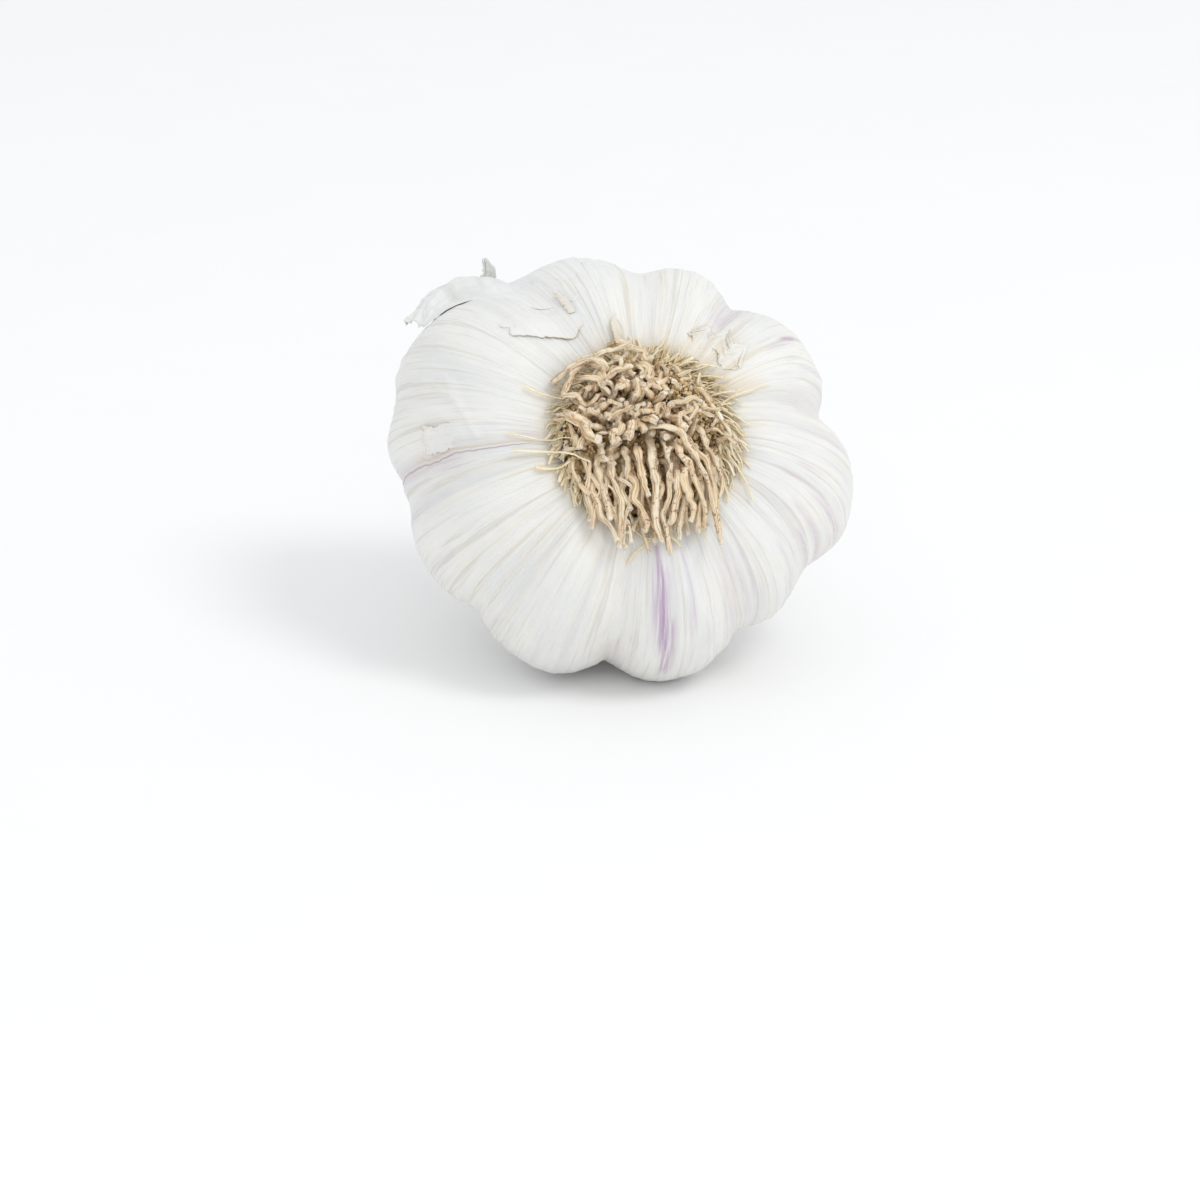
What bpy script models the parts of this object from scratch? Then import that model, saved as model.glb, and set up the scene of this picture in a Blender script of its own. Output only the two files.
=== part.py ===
"""A dry garlic bulb lying on its side, as it comes to rest on a table.

Run it with: blender --background --python part.py

The bulb is modelled upright in its own frame (u, v, w), which is each object's local X, Y, Z:
w runs along the bulb's axis, from the neck to the roots, and an angle is measured round w, from u towards v.
One empty, bulb_axis, then lays the whole bulb down. It rests on two cloves and the end of its neck.
All lengths are in metres.
"""

from math import asin, atan2, cos, exp, log, pi, radians, sin, sqrt

import bmesh
import bpy
from mathutils import Matrix, Vector, noise

MM = 0.001

# How it lies on the table
AXIS_ELEVATION = radians(34)  # the root end points up by this much
AXIS_ROLL = radians(2)  # the bulb is turned round its axis until two cloves touch
FLAT_DEPTH = 0.45 * MM  # how deep the skin is flattened where it rests

# The wrapped cloves: angle in degrees, reach from the axis and girth radius in millimetres
CLOVES = [
    (-12, 30.5, 13.2),
    (33, 28.4, 12.0),
    (73, 26.7, 11.0),
    (107, 28.0, 12.0),
    (147, 31.0, 14.0),
    (171, 30.0, 10.5),
    (206, 28.8, 12.5),
    (246, 29.2, 12.2),
    (287, 29.3, 12.2),
    (322, 28.1, 12.0),
]
MEAN_REACH = 28.5 * MM
CLOVE_SHARPNESS = 2.2 / MM  # how closely the skin follows the valley between two cloves

# The outline of the bulb along its axis, as (distance from the axis, height w)
RIM_RADIUS = 10.2 * MM  # where the skin meets the basal plate
RIM_HEIGHT = 14.6 * MM
SHOULDER_HANDLE = (16.5 * MM, 19.0 * MM)
ROOT_FLANK_HANDLE = (MEAN_REACH, 11.5 * MM)
NECK_FLANK_HANDLE = (MEAN_REACH, -13.5 * MM)
THROAT_HANDLE = (9.6 * MM, -17.5 * MM)
THROAT = (7.3 * MM, -26.5 * MM)  # where the bulb turns into the neck
NECK_END = (5.7 * MM, -36.2 * MM)
NECK_FLARE = 0.5 * MM  # the dry cut end opens a little
RECESS_DEPTH = 2.0 * MM  # the hollow that holds the basal plate

# The basal plate and the ring of old leaf bases round it
CLEARANCE = 0.35 * MM  # between pieces that touch
PLATE_RADIUS = 8.9 * MM
PLATE_THICKNESS = 3.4 * MM
PLATE_EDGE = 0.6 * MM
RING_INNER = 9.35 * MM
RING_OUTER = 11.3 * MM
RING_HEIGHT = 1.5 * MM
RING_TEETH = 34

# Roots: name, how many, distance of their feet from the axis in millimetres, first and last angle in degrees,
# length, how far they stand up from the plate, and how much they sag towards the table
ROOT_ROWS = [
    ("root_hanging", 11, 7.3, 205, 335, 7.6, 1.5, 0.25),
    ("root_over", 7, 4.8, 212, 328, 9.6, 4.0, 0.30),
    ("root_side", 13, 7.3, -14, 194, 4.6, 1.7, 0.0),
    ("root_stub", 7, 4.4, 0, 180, 4.0, 3.4, 0.0),
    ("root_middle", 5, 1.9, 18, 306, 2.6, 3.9, 0.0),
]
ROOT_RADIUS = 0.66 * MM
ROOT_TAPER = 0.6  # width of a root's tip, as a share of its foot
ROOT_POINTS = 7

# Loose outer skins: name, first and last angle in degrees, first and last place along the outline,
# and how far the middle of the edge nearer the neck has sprung away from the cloves
SKIN_THICKNESS = 0.35 * MM
SKIN_GAP = 0.40 * MM
LOOSE_SKINS = [
    ("loose_skin_torn_back", 99, 155, 0.16, 0.60, 6.4 * MM),
    ("loose_skin_upper_right", 36, 60, 0.07, 0.21, 0.7 * MM),
    ("loose_skin_left_patch", 169, 181, 0.19, 0.30, 0.3 * MM),
]
SPLINTER_ANGLE = radians(122)
SPLINTER_PLACE = 0.47  # along the outline, on the crest of the torn sheet
SPLINTER_WIDTH = 3.4 * MM
SPLINTER_TIP = 33.2 * MM  # distance of its tip from the axis

SKIN_COLOUR = (0.86, 0.84, 0.80, 1)
LOOSE_SKIN_COLOUR = (0.88, 0.88, 0.86, 1)
PLATE_COLOUR = (0.30, 0.22, 0.13, 1)
RING_COLOUR = (0.56, 0.42, 0.22, 1)
ROOT_COLOUR = (0.66, 0.54, 0.39, 1)


def clear_scene():
    for obj in list(bpy.data.objects):
        bpy.data.objects.remove(obj)


def new_collection(name):
    collection = bpy.data.collections.new(name)
    bpy.context.scene.collection.children.link(collection)
    return collection


def new_material(name, colour, roughness):
    material = bpy.data.materials.new(name)
    material.use_nodes = True
    shader = material.node_tree.nodes["Principled BSDF"]
    shader.inputs["Base Color"].default_value = colour
    shader.inputs["Roughness"].default_value = roughness
    shader.inputs["Metallic"].default_value = 0.0
    return material


def place(name, data, collection, axis, material):
    """Links an object with this mesh or curve, hung on the bulb's axis."""
    obj = bpy.data.objects.new(name, data)
    collection.objects.link(obj)
    obj.parent = axis
    obj.data.materials.append(material)
    return obj


def mesh_from(bm, name):
    mesh = bpy.data.meshes.new(name)
    bmesh.ops.recalc_face_normals(bm, faces=bm.faces)
    bm.to_mesh(mesh)
    bm.free()
    mesh.shade_smooth()
    return mesh


def smooth_step(low, high, x):
    t = min(1.0, max(0.0, (x - low) / (high - low)))
    return t * t * (3 - 2 * t)


def bezier(p0, p1, p2, p3, t):
    """A point of a cubic curve in the (distance, height) plane."""
    s = 1 - t
    weights = (s * s * s, 3 * s * s * t, 3 * s * t * t, t * t * t)
    points = (p0, p1, p2, p3)
    return (
        sum(w * p[0] for w, p in zip(weights, points)),
        sum(w * p[1] for w, p in zip(weights, points)),
    )


def clove_reach(angle):
    """Distance from the axis to the skin at the bulb's widest, where it wraps the cloves' round backs."""
    total = 0.0
    for degrees, reach_mm, girth_mm in CLOVES:
        reach, girth = reach_mm * MM, girth_mm * MM
        turn = angle - radians(degrees)
        centre = reach - girth
        across = centre * sin(turn)
        depth = sqrt(max(0.0, girth * girth - across * across))
        back = centre * cos(turn) + (depth if cos(turn) > 0 else 0.0)
        total += exp(CLOVE_SHARPNESS * (back - MEAN_REACH))
    return MEAN_REACH + log(total) / CLOVE_SHARPNESS


def outline(t):
    """(distance from the axis, height, how much of the cloves' shape shows) for t from 0, the rim, to 1, the neck's end."""
    if t < 0.34:
        r, w = bezier((RIM_RADIUS, RIM_HEIGHT), SHOULDER_HANDLE, ROOT_FLANK_HANDLE, (MEAN_REACH, 0.0), t / 0.34)
    elif t < 0.78:
        r, w = bezier((MEAN_REACH, 0.0), NECK_FLANK_HANDLE, THROAT_HANDLE, THROAT, (t - 0.34) / 0.44)
    else:
        along = (t - 0.78) / 0.22
        r = THROAT[0] + (NECK_END[0] - THROAT[0]) * along + NECK_FLARE * along**6
        w = THROAT[1] + (NECK_END[1] - THROAT[1]) * along
    shown = smooth_step(0.0, 0.16, t) * (1 - smooth_step(0.52, 0.84, t))
    return r, w, shown


def skin_point(angle, t):
    """A point of the skin. Towards the roots the cloves' backs also stand prouder than the valleys."""
    r, w, shown = outline(t)
    lobe = clove_reach(angle) / MEAN_REACH - 1
    swell = smooth_step(0.0, 0.12, t) * (1 - smooth_step(0.16, 0.34, t))
    r *= 1 + lobe * (0.15 * (1 - smooth_step(0.6, 0.9, t)) * smooth_step(0.0, 0.1, t) + 0.85 * shown)
    w += swell * lobe * 14 * MM
    return Vector((r * cos(angle), r * sin(angle), w))


def skin_normal(angle, t):
    step = 0.01
    along = skin_point(angle, min(1.0, t + step)) - skin_point(angle, max(0.0, t - step))
    round_about = skin_point(angle + step, t) - skin_point(angle - step, t)
    return round_about.cross(along).normalized() * -1


def make_wrapped_bulb(collection, axis, material):
    """The cloves in their tight skins, down to the dried neck: a sphere whose rings are moved to the outline."""
    segments, rings = 64, 34
    recess = [(0.0, RIM_HEIGHT - RECESS_DEPTH), (RING_INNER - 0.1 * MM, RIM_HEIGHT - RECESS_DEPTH)]
    skin_rings = rings - len(recess)
    bm = bmesh.new()
    bmesh.ops.create_uvsphere(bm, u_segments=segments, v_segments=rings, radius=1.0)
    for vertex in bm.verts:
        ring = round((pi / 2 - asin(max(-1.0, min(1.0, vertex.co.z)))) / pi * rings)
        angle = atan2(vertex.co.y, vertex.co.x)
        if ring < len(recess):
            r, w = recess[ring]
            vertex.co = (r * cos(angle), r * sin(angle), w)
        elif ring == rings:
            vertex.co = (0, 0, NECK_END[1])
        else:
            vertex.co = skin_point(angle, (ring - len(recess)) / (skin_rings - 1))
    return place("wrapped_bulb", mesh_from(bm, "wrapped_bulb"), collection, axis, material)


def make_basal_plate(collection, axis, material):
    """The corky plate that every root and clove grows from: a turned disc with a domed face."""
    low = RIM_HEIGHT - RECESS_DEPTH + CLEARANCE
    edge = low + PLATE_THICKNESS - PLATE_EDGE
    profile = [(0.0, edge + 2 * PLATE_EDGE), (0.5, edge + 1.75 * PLATE_EDGE), (0.85, edge + PLATE_EDGE)]
    profile += [(1.0, edge), (1.0, low + PLATE_EDGE), (0.93, low), (0.0, low)]
    mesh = bpy.data.meshes.new("basal_plate")
    points = [(share * PLATE_RADIUS, 0, height) for share, height in profile]
    mesh.from_pydata(points, [(i, i + 1) for i in range(len(points) - 1)], [])
    plate = place("basal_plate", mesh, collection, axis, material)
    screw = plate.modifiers.new("turn", "SCREW")
    screw.steps = screw.render_steps = 36
    screw.use_merge_vertices = True
    screw.merge_threshold = 0.0001
    return plate


def make_leaf_base_ring(collection, axis, material):
    """The ragged ring that is left where the old leaves tore away, open in the middle for the plate."""
    bm = bmesh.new()
    bmesh.ops.create_cone(
        bm, cap_ends=False, segments=2 * RING_TEETH, radius1=RING_INNER, radius2=RING_INNER, depth=RING_HEIGHT
    )
    for vertex in bm.verts:
        angle = atan2(vertex.co.y, vertex.co.x)
        top = vertex.co.z > 0
        ragged = 0.5 + 0.5 * noise.noise(Vector((2.4 * cos(angle), 2.4 * sin(angle), 3.0)))
        tooth = ragged + (0.35 if round(angle / pi * RING_TEETH) % 2 else 0.0)
        lean = (RING_OUTER - RING_INNER) * (0.3 + 0.6 * ragged) if top else 0.0
        radius = RIM_RADIUS + CLEARANCE + lean
        height = skin_point(angle, 0.02).z + 0.75 * MM + (RING_HEIGHT * (0.35 + 0.65 * tooth) if top else 0.0)
        vertex.co = (radius * cos(angle), radius * sin(angle), height)
    ring = place("leaf_base_ring", mesh_from(bm, "leaf_base_ring"), collection, axis, material)
    wall = ring.modifiers.new("wall", "SOLIDIFY")
    wall.thickness = 0.45 * MM
    wall.offset = 0.0
    return ring


def root_line(foot_radius, angle, length, rise, droop):
    """Points of one dry root: out of the plate's face, then bent over outwards and down to the table's side."""
    outwards = Vector((cos(angle), sin(angle), 0))
    heading = (outwards + Vector((0, -droop, 0))).normalized()
    start = outwards * foot_radius + Vector((0, 0, PLATE_TOP + CLEARANCE))
    points = []
    for i in range(ROOT_POINTS):
        t = i / (ROOT_POINTS - 1)
        over = length * (t * t * 0.75 + 0.25 * t)
        up = rise * (1 - (1 - t) ** 2.2) - 0.12 * length * max(0.0, t - 0.6)
        points.append(start + heading * over + Vector((0, 0, up)))
    return points


def make_root(name, points, collection, axis, material):
    curve = bpy.data.curves.new(name, "CURVE")
    curve.dimensions = "3D"
    curve.bevel_depth = ROOT_RADIUS
    curve.bevel_resolution = 1
    curve.use_fill_caps = True
    spline = curve.splines.new("POLY")
    spline.points.add(len(points) - 1)
    for i, (target, point) in enumerate(zip(spline.points, points)):
        target.co = (*point, 1)
        target.radius = 1 - (1 - ROOT_TAPER) * (i / (len(points) - 1)) ** 1.5
    return place(name, curve, collection, axis, material)


def make_roots(collection, axis, material):
    for name, count, foot_mm, first, last, length_mm, rise_mm, droop in ROOT_ROWS:
        for i in range(count):
            share = i / (count - 1)
            angle = radians(first + (last - first) * share)
            uneven = 1 + 0.16 * sin(5.3 * i + len(name))
            line = root_line(foot_mm * MM, angle, length_mm * MM * uneven, rise_mm * MM, droop)
            make_root(f"{name}_{i + 1:02d}", line, collection, axis, material)


def sprung(across, along):
    """How much of a sheet's lift is reached, for places across and along it from 0 to 1."""
    return max(0.0, sin(pi * across)) ** 1.3 * smooth_step(0.1, 1.0, along)


def make_loose_skin(name, first, last, near, far, lift, collection, axis, material):
    """A torn sheet of outer skin that bridges the valleys between cloves and has sprung up towards the neck."""
    bm = bmesh.new()
    bmesh.ops.create_grid(bm, x_segments=12, y_segments=8, size=1.0)
    for vertex in bm.verts:
        across, along = (vertex.co.x + 1) / 2, (vertex.co.y + 1) / 2
        torn = noise.noise(Vector((across * 6, along * 6, len(name)))) * 0.09
        angle = radians(first + (last - first) * (across + torn * (2 * across - 1)))
        t = near + (far - near) * (along + torn * (2 * along - 1))
        gap = SKIN_GAP + SKIN_THICKNESS / 2 + lift * sprung(across, along)
        vertex.co = skin_point(angle, t) + skin_normal(angle, t) * gap
    return make_sheet(name, bm, collection, axis, material)


def make_splinter(collection, axis, material):
    """A narrow splinter of skin that stands up from the crest of the torn sheet."""
    name, first, last, near, far, lift = LOOSE_SKINS[0]
    across = (SPLINTER_ANGLE - radians(first)) / radians(last - first)
    along = (SPLINTER_PLACE - near) / (far - near)
    gap = SKIN_GAP + lift * sprung(across, along) + SKIN_THICKNESS + 2 * CLEARANCE
    foot = skin_point(SPLINTER_ANGLE, SPLINTER_PLACE) + skin_normal(SPLINTER_ANGLE, SPLINTER_PLACE) * gap
    outwards = Vector((cos(SPLINTER_ANGLE), sin(SPLINTER_ANGLE), 0))
    side = Vector((-sin(SPLINTER_ANGLE), cos(SPLINTER_ANGLE), 0))
    length = SPLINTER_TIP - foot.dot(outwards)
    bm = bmesh.new()
    bmesh.ops.create_grid(bm, x_segments=3, y_segments=7, size=1.0)
    for vertex in bm.verts:
        sideways, up = vertex.co.x / 2, (vertex.co.y + 1) / 2
        width = SPLINTER_WIDTH * (1 - 0.72 * up)
        vertex.co = foot + outwards * (length * up) + side * (width * sideways)
        vertex.co.z -= 1.5 * MM * up
    return make_sheet("loose_skin_splinter", bm, collection, axis, material)


def make_sheet(name, bm, collection, axis, material):
    skin = place(name, mesh_from(bm, name), collection, axis, material)
    sheet = skin.modifiers.new("sheet", "SOLIDIFY")
    sheet.thickness = SKIN_THICKNESS
    sheet.offset = 0.0
    return skin


def world_points(obj, graph):
    evaluated = obj.evaluated_get(graph)
    mesh = evaluated.to_mesh()
    points = [evaluated.matrix_world @ vertex.co for vertex in mesh.vertices]
    evaluated.to_mesh_clear()
    return points


def lay_down(axis, bulb):
    """Turns the bulb onto its side and lowers it until its flattened skin touches z = 0."""
    axis.matrix_world = Matrix.Rotation(pi / 2 - AXIS_ELEVATION, 4, "X") @ Matrix.Rotation(AXIS_ROLL, 4, "Z")
    bpy.context.view_layer.update()
    lowest = min(point.z for point in world_points(bulb, bpy.context.evaluated_depsgraph_get()))
    axis.location.z = -lowest - FLAT_DEPTH


def flatten_where_it_rests(bulb, cutters):
    """Cuts the resting spots flat at z = 0 with the table itself."""
    mesh = bpy.data.meshes.new("table_cutter")
    bm = bmesh.new()
    bmesh.ops.create_cube(bm, size=1.0)
    bmesh.ops.scale(bm, vec=(160 * MM, 160 * MM, 20 * MM), verts=bm.verts)
    bmesh.ops.translate(bm, vec=(0, 0, -10 * MM), verts=bm.verts)
    bm.to_mesh(mesh)
    bm.free()
    table = bpy.data.objects.new("table_cutter", mesh)
    cutters.objects.link(table)
    table.hide_render = True
    table.display_type = "WIRE"
    cut = bulb.modifiers.new("resting_spots", "BOOLEAN")
    cut.operation = "DIFFERENCE"
    cut.object = table


def centre_over_origin(axis, collection):
    """Moves the bulb sideways until its bounding box is centred on the origin."""
    bpy.context.view_layer.update()
    graph = bpy.context.evaluated_depsgraph_get()
    points = [point for obj in collection.objects if obj.type != "EMPTY" for point in world_points(obj, graph)]
    for i in (0, 1):
        values = [point[i] for point in points]
        axis.location[i] -= (min(values) + max(values)) / 2


PLATE_TOP = RIM_HEIGHT - RECESS_DEPTH + CLEARANCE + PLATE_THICKNESS + PLATE_EDGE


def main():
    clear_scene()
    garlic = new_collection("garlic_bulb")
    cutters = new_collection("cutters")
    axis = bpy.data.objects.new("bulb_axis", None)
    garlic.objects.link(axis)

    skin = new_material("tight_skin", SKIN_COLOUR, 0.45)
    loose = new_material("loose_skin", LOOSE_SKIN_COLOUR, 0.5)
    plate = new_material("basal_plate", PLATE_COLOUR, 0.9)
    ring = new_material("leaf_bases", RING_COLOUR, 0.8)
    root = new_material("dry_roots", ROOT_COLOUR, 0.8)

    bulb = make_wrapped_bulb(garlic, axis, skin)
    make_basal_plate(garlic, axis, plate)
    make_leaf_base_ring(garlic, axis, ring)
    make_roots(garlic, axis, root)
    for sheet in LOOSE_SKINS:
        make_loose_skin(*sheet, garlic, axis, loose)
    make_splinter(garlic, axis, loose)

    lay_down(axis, bulb)
    flatten_where_it_rests(bulb, cutters)
    centre_over_origin(axis, garlic)


main()
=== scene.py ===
from math import cos, pi, radians, sin, tau

import bpy
import numpy as np
from mathutils import Matrix, Vector, noise


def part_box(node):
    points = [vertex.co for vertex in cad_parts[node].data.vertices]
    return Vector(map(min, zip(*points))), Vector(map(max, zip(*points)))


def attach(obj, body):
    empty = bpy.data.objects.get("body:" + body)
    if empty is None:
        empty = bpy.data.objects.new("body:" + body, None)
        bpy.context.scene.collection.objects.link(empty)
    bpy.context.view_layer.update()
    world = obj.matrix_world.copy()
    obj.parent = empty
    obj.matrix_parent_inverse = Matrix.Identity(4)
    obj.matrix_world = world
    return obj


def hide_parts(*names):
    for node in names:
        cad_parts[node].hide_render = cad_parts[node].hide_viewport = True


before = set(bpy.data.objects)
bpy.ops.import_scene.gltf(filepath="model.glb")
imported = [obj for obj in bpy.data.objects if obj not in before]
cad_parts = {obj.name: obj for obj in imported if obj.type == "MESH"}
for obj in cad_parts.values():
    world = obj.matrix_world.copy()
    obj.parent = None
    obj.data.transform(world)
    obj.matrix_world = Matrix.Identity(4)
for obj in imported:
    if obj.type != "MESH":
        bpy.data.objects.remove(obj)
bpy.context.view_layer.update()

mm = 0.001
nodeNames = list(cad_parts)
print("frame loaded:", len(nodeNames), "nodes")


# node helpers

class Wire:
    # an output socket that can be used in a sum or a product
    def __init__(self, sheet, socket):
        self.sheet = sheet
        self.socket = socket

    def calc(self, operation, *terms):
        return self.sheet.add("ShaderNodeMath", {"operation": operation}, terms)

    def __add__(self, other):
        return self.calc("ADD", self, other)

    def __sub__(self, other):
        return self.calc("SUBTRACT", self, other)

    def __rsub__(self, other):
        return self.calc("SUBTRACT", other, self)

    def __mul__(self, other):
        return self.calc("MULTIPLY", self, other)


class NodeSheet:
    def __init__(self, tree):
        self.tree = tree

    def add(self, kind, settings=None, values=(), output=0):
        node = self.tree.nodes.new(kind)
        for name, value in (settings or {}).items():
            if name == "stops":
                ramp = node.color_ramp
                while len(ramp.elements) < len(value):
                    ramp.elements.new(1.0)
                for element, (place, colour) in zip(ramp.elements, value):
                    element.position = place
                    element.color = (*colour, 1)
            else:
                setattr(node, name, value)
        self.fill(node, values)
        return Wire(self, node.outputs[output])

    def fill(self, node, values):
        for key, value in values.items() if isinstance(values, dict) else enumerate(values):
            socket = node.inputs[key]
            if isinstance(value, Wire):
                self.tree.links.new(value.socket, socket)
            elif socket.type == "RGBA" and len(value) == 3:
                socket.default_value = (*value, 1)
            else:
                socket.default_value = value

    def attribute(self, name, vector=False):
        return self.add("ShaderNodeAttribute", {"attribute_name": name}, output="Vector" if vector else "Fac")

    def objectPlace(self):
        return self.add("ShaderNodeTexCoord", output="Object")

    def stretch(self, vector, x, y, z):
        return self.add("ShaderNodeVectorMath", {"operation": "MULTIPLY"}, [vector, (x, y, z)])

    def noise(self, vector, scale, detail=2.0, roughness=0.5, distortion=0.0):
        values = {"Vector": vector, "Scale": scale, "Detail": detail, "Roughness": roughness}
        return self.add("ShaderNodeTexNoise", {}, {**values, "Distortion": distortion})

    def step(self, value, low, high, start=0.0, end=1.0):
        # a smooth step from start to end as the value goes from low to high
        settings = {"interpolation_type": "SMOOTHSTEP"}
        return self.add("ShaderNodeMapRange", settings, [value, low, high, start, end])

    def mix(self, share, under, over):
        return self.add("ShaderNodeMix", {"data_type": "RGBA"}, {0: share, 6: under, 7: over}, output=2)

    def bump(self, height, distance, strength=1.0):
        return self.add("ShaderNodeBump", {}, {"Strength": strength, "Distance": distance, "Height": height})


def newMaterial(name, fixed):
    material = bpy.data.materials.new(name)
    material.use_nodes = True
    sheet = NodeSheet(material.node_tree)
    shader = material.node_tree.nodes["Principled BSDF"]
    sheet.fill(shader, fixed)
    return material, sheet, shader


def geometryTree(name, inputs):
    # inputs: (label, socket kind, value); every tree takes and gives one geometry
    tree = bpy.data.node_groups.new(name, "GeometryNodeTree")
    tree.interface.new_socket("Geometry", in_out="INPUT", socket_type="NodeSocketGeometry")
    for label, kind, value in inputs:
        socket = tree.interface.new_socket(label, in_out="INPUT", socket_type="NodeSocket" + kind)
        if value is not None:
            socket.default_value = value
    tree.interface.new_socket("Geometry", in_out="OUTPUT", socket_type="NodeSocketGeometry")
    sheet = NodeSheet(tree)
    source = tree.nodes.new("NodeGroupInput")
    ports = {socket.name: Wire(sheet, socket) for socket in source.outputs if socket.name}
    return tree, sheet, ports


def endTree(sheet, geometry, material):
    geometry = sheet.add("GeometryNodeRealizeInstances", {}, {"Geometry": geometry})
    geometry = sheet.add("GeometryNodeSetMaterial", {}, {"Geometry": geometry, "Material": material})
    out = sheet.tree.nodes.new("NodeGroupOutput")
    sheet.tree.links.new(geometry.socket, out.inputs[0])


def bakeTree(obj, tree, values):
    # runs the tree on the object and gives back a plain mesh object of the same name
    modifier = obj.modifiers.new("shape", "NODES")
    modifier.node_group = tree
    labels = {item.name: item.identifier for item in tree.interface.items_tree if item.in_out == "INPUT"}
    for label, value in values.items():
        modifier[labels[label]] = value
    graph = bpy.context.evaluated_depsgraph_get()
    mesh = bpy.data.meshes.new_from_object(obj.evaluated_get(graph))
    name = obj.name
    bpy.data.objects.remove(obj)
    mesh.name = name
    return linked(name, mesh)


def linked(name, data):
    obj = bpy.data.objects.new(name, data)
    bpy.context.scene.collection.objects.link(obj)
    return obj


def meshObject(name, points, faces, attributes=None):
    # points in metres; attributes: name to one number or one vector for each point
    mesh = bpy.data.meshes.new(name)
    mesh.from_pydata(np.asarray(points).tolist(), [], faces)
    for label, values in (attributes or {}).items():
        values = np.asarray(values, float)
        vector = values.ndim == 2
        layer = mesh.attributes.new(label, "FLOAT_VECTOR" if vector else "FLOAT", "POINT")
        layer.data.foreach_set("vector" if vector else "value", values.ravel())
    mesh.shade_smooth()
    return linked(name, mesh)


def show(piece, slot, *nodes):
    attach(piece, "root")
    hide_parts(*nodes)
    print("made", piece.name, len(piece.data.polygons), "faces")
    return piece


def smoothStep(low, high, x):
    share = np.clip((x - low) / (high - low), 0, 1)
    return share * share * (3 - 2 * share)


def noiseAt(points, scale, seed=0.0):
    # smooth noise from -1 to 1 at each row of points
    return np.array([noise.noise(Vector(p) * scale + Vector((seed, 0, 0))) for p in points])


# the shape of the bulb, in millimetres round its own axis
# u is to the right, v up and w along the axis towards the roots
# s is the distance along the skin from the rim

bulb = {
    "axisElevation": radians(34),
    "axisRoll": radians(2),
    "meanReach": 28.5,
    "sharpness": 2.2,
    "rim": (10.2, 14.6),
    "shoulder": (16.5, 19.0),
    "rootFlank": (28.5, 11.5),
    "neckFlank": (28.5, -13.5),
    "throatHandle": (9.6, -17.5),
    "throat": (7.3, -26.5),
    "neckEnd": (5.7, -36.2),
    "neckFlare": 0.5,
    "recess": (9.25, 12.6),
    "plateTop": 16.95,
    "columns": 430,
    "rows": 218,
}

# angle in degrees, reach from the axis, girth radius
cloves = [
    (-13, 29.5, 13.0), (31, 28.4, 12.0), (69, 27.0, 11.0), (104, 28.2, 12.0), (147, 31.7, 14.0),
    (169, 30.5, 10.5), (200, 28.9, 12.5), (239, 28.4, 12.2), (281, 28.0, 12.2), (315, 26.8, 12.0),
]

# the creases between cloves: angle in degrees, depth, half width in degrees, how sharp a fold runs in it
valleys = [
    (9, 0.7, 7.0, 0.10), (52, 0.7, 7.5, 0.22), (82, 0.3, 7.5, 0.08), (124, 0.6, 7.0, 0.10),
    (159, 0.2, 6.0, 0.0), (179, 0.8, 6.0, 0.45), (219, 0.4, 7.0, 0.05), (260, 1.0, 8.0, 0.15),
    (299, 0.9, 7.5, 0.12), (330, 0.8, 6.0, 0.08),
]


def turnFrom(angle, degrees):
    # angle less this many degrees, wrapped to -pi..pi
    return (angle - radians(degrees) + pi) % tau - pi


def cloveReach(angle):
    total = 0
    for degrees, reach, girth in cloves:
        turn = turnFrom(angle, degrees)
        across = (reach - girth) * np.sin(turn)
        depth = np.sqrt(np.maximum(0, girth**2 - across**2))
        back = (reach - girth) * np.cos(turn) + np.where(np.cos(turn) > 0, depth, 0)
        total = total + np.exp(bulb["sharpness"] * (back - bulb["meanReach"]))
    return bulb["meanReach"] + np.log(total) / bulb["sharpness"]


def bezier(points, t):
    a, b, c, d = (np.array(p, float)[:, None] for p in points)
    return (1 - t) ** 3 * a + 3 * (1 - t) ** 2 * t * b + 3 * (1 - t) * t**2 * c + t**3 * d


def outline(t):
    # distance from the axis, height, and how much of the cloves shows
    # t runs from 0 at the rim, over the widest place and the throat, to 1 at the neck's end
    t = np.asarray(t, float)
    flat = t.ravel()
    reach = bulb["meanReach"]
    widest, throatAt = 0.34, 0.78
    root = bezier((bulb["rim"], bulb["shoulder"], bulb["rootFlank"], (reach, 0)),
                  np.clip(flat / widest, 0, 1))
    flank = bezier(((reach, 0), bulb["neckFlank"], bulb["throatHandle"], bulb["throat"]),
                   np.clip((flat - widest) / 0.44, 0, 1))
    along = np.clip((flat - throatAt) / 0.22, 0, 1)
    throat, end = np.array(bulb["throat"])[:, None], np.array(bulb["neckEnd"])[:, None]
    neck = throat + (end - throat) * along
    neck[0] += bulb["neckFlare"] * along**6
    r, w = np.where(flat < widest, root, np.where(flat < throatAt, flank, neck))
    shown = smoothStep(0, 0.16, flat) * (1 - smoothStep(0.52, 0.84, flat))
    return r.reshape(t.shape), w.reshape(t.shape), shown.reshape(t.shape)


tSamples = np.linspace(0, 1, 2001)
rSamples, wSamples, _ = outline(tSamples)
sSamples = np.concatenate([[0], np.cumsum(np.hypot(np.diff(rSamples), np.diff(wSamples)))])
skinLength = sSamples[-1]


def creaseDepth(angle):
    broad, fold = 0, 0
    for degrees, depth, width, sharp in valleys:
        turn = np.degrees(turnFrom(angle, degrees))
        broad = broad + depth * np.exp(-((turn / width) ** 2))
        fold = fold + sharp * np.exp(-np.abs(turn) / 1.6)
    return broad, fold


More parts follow.
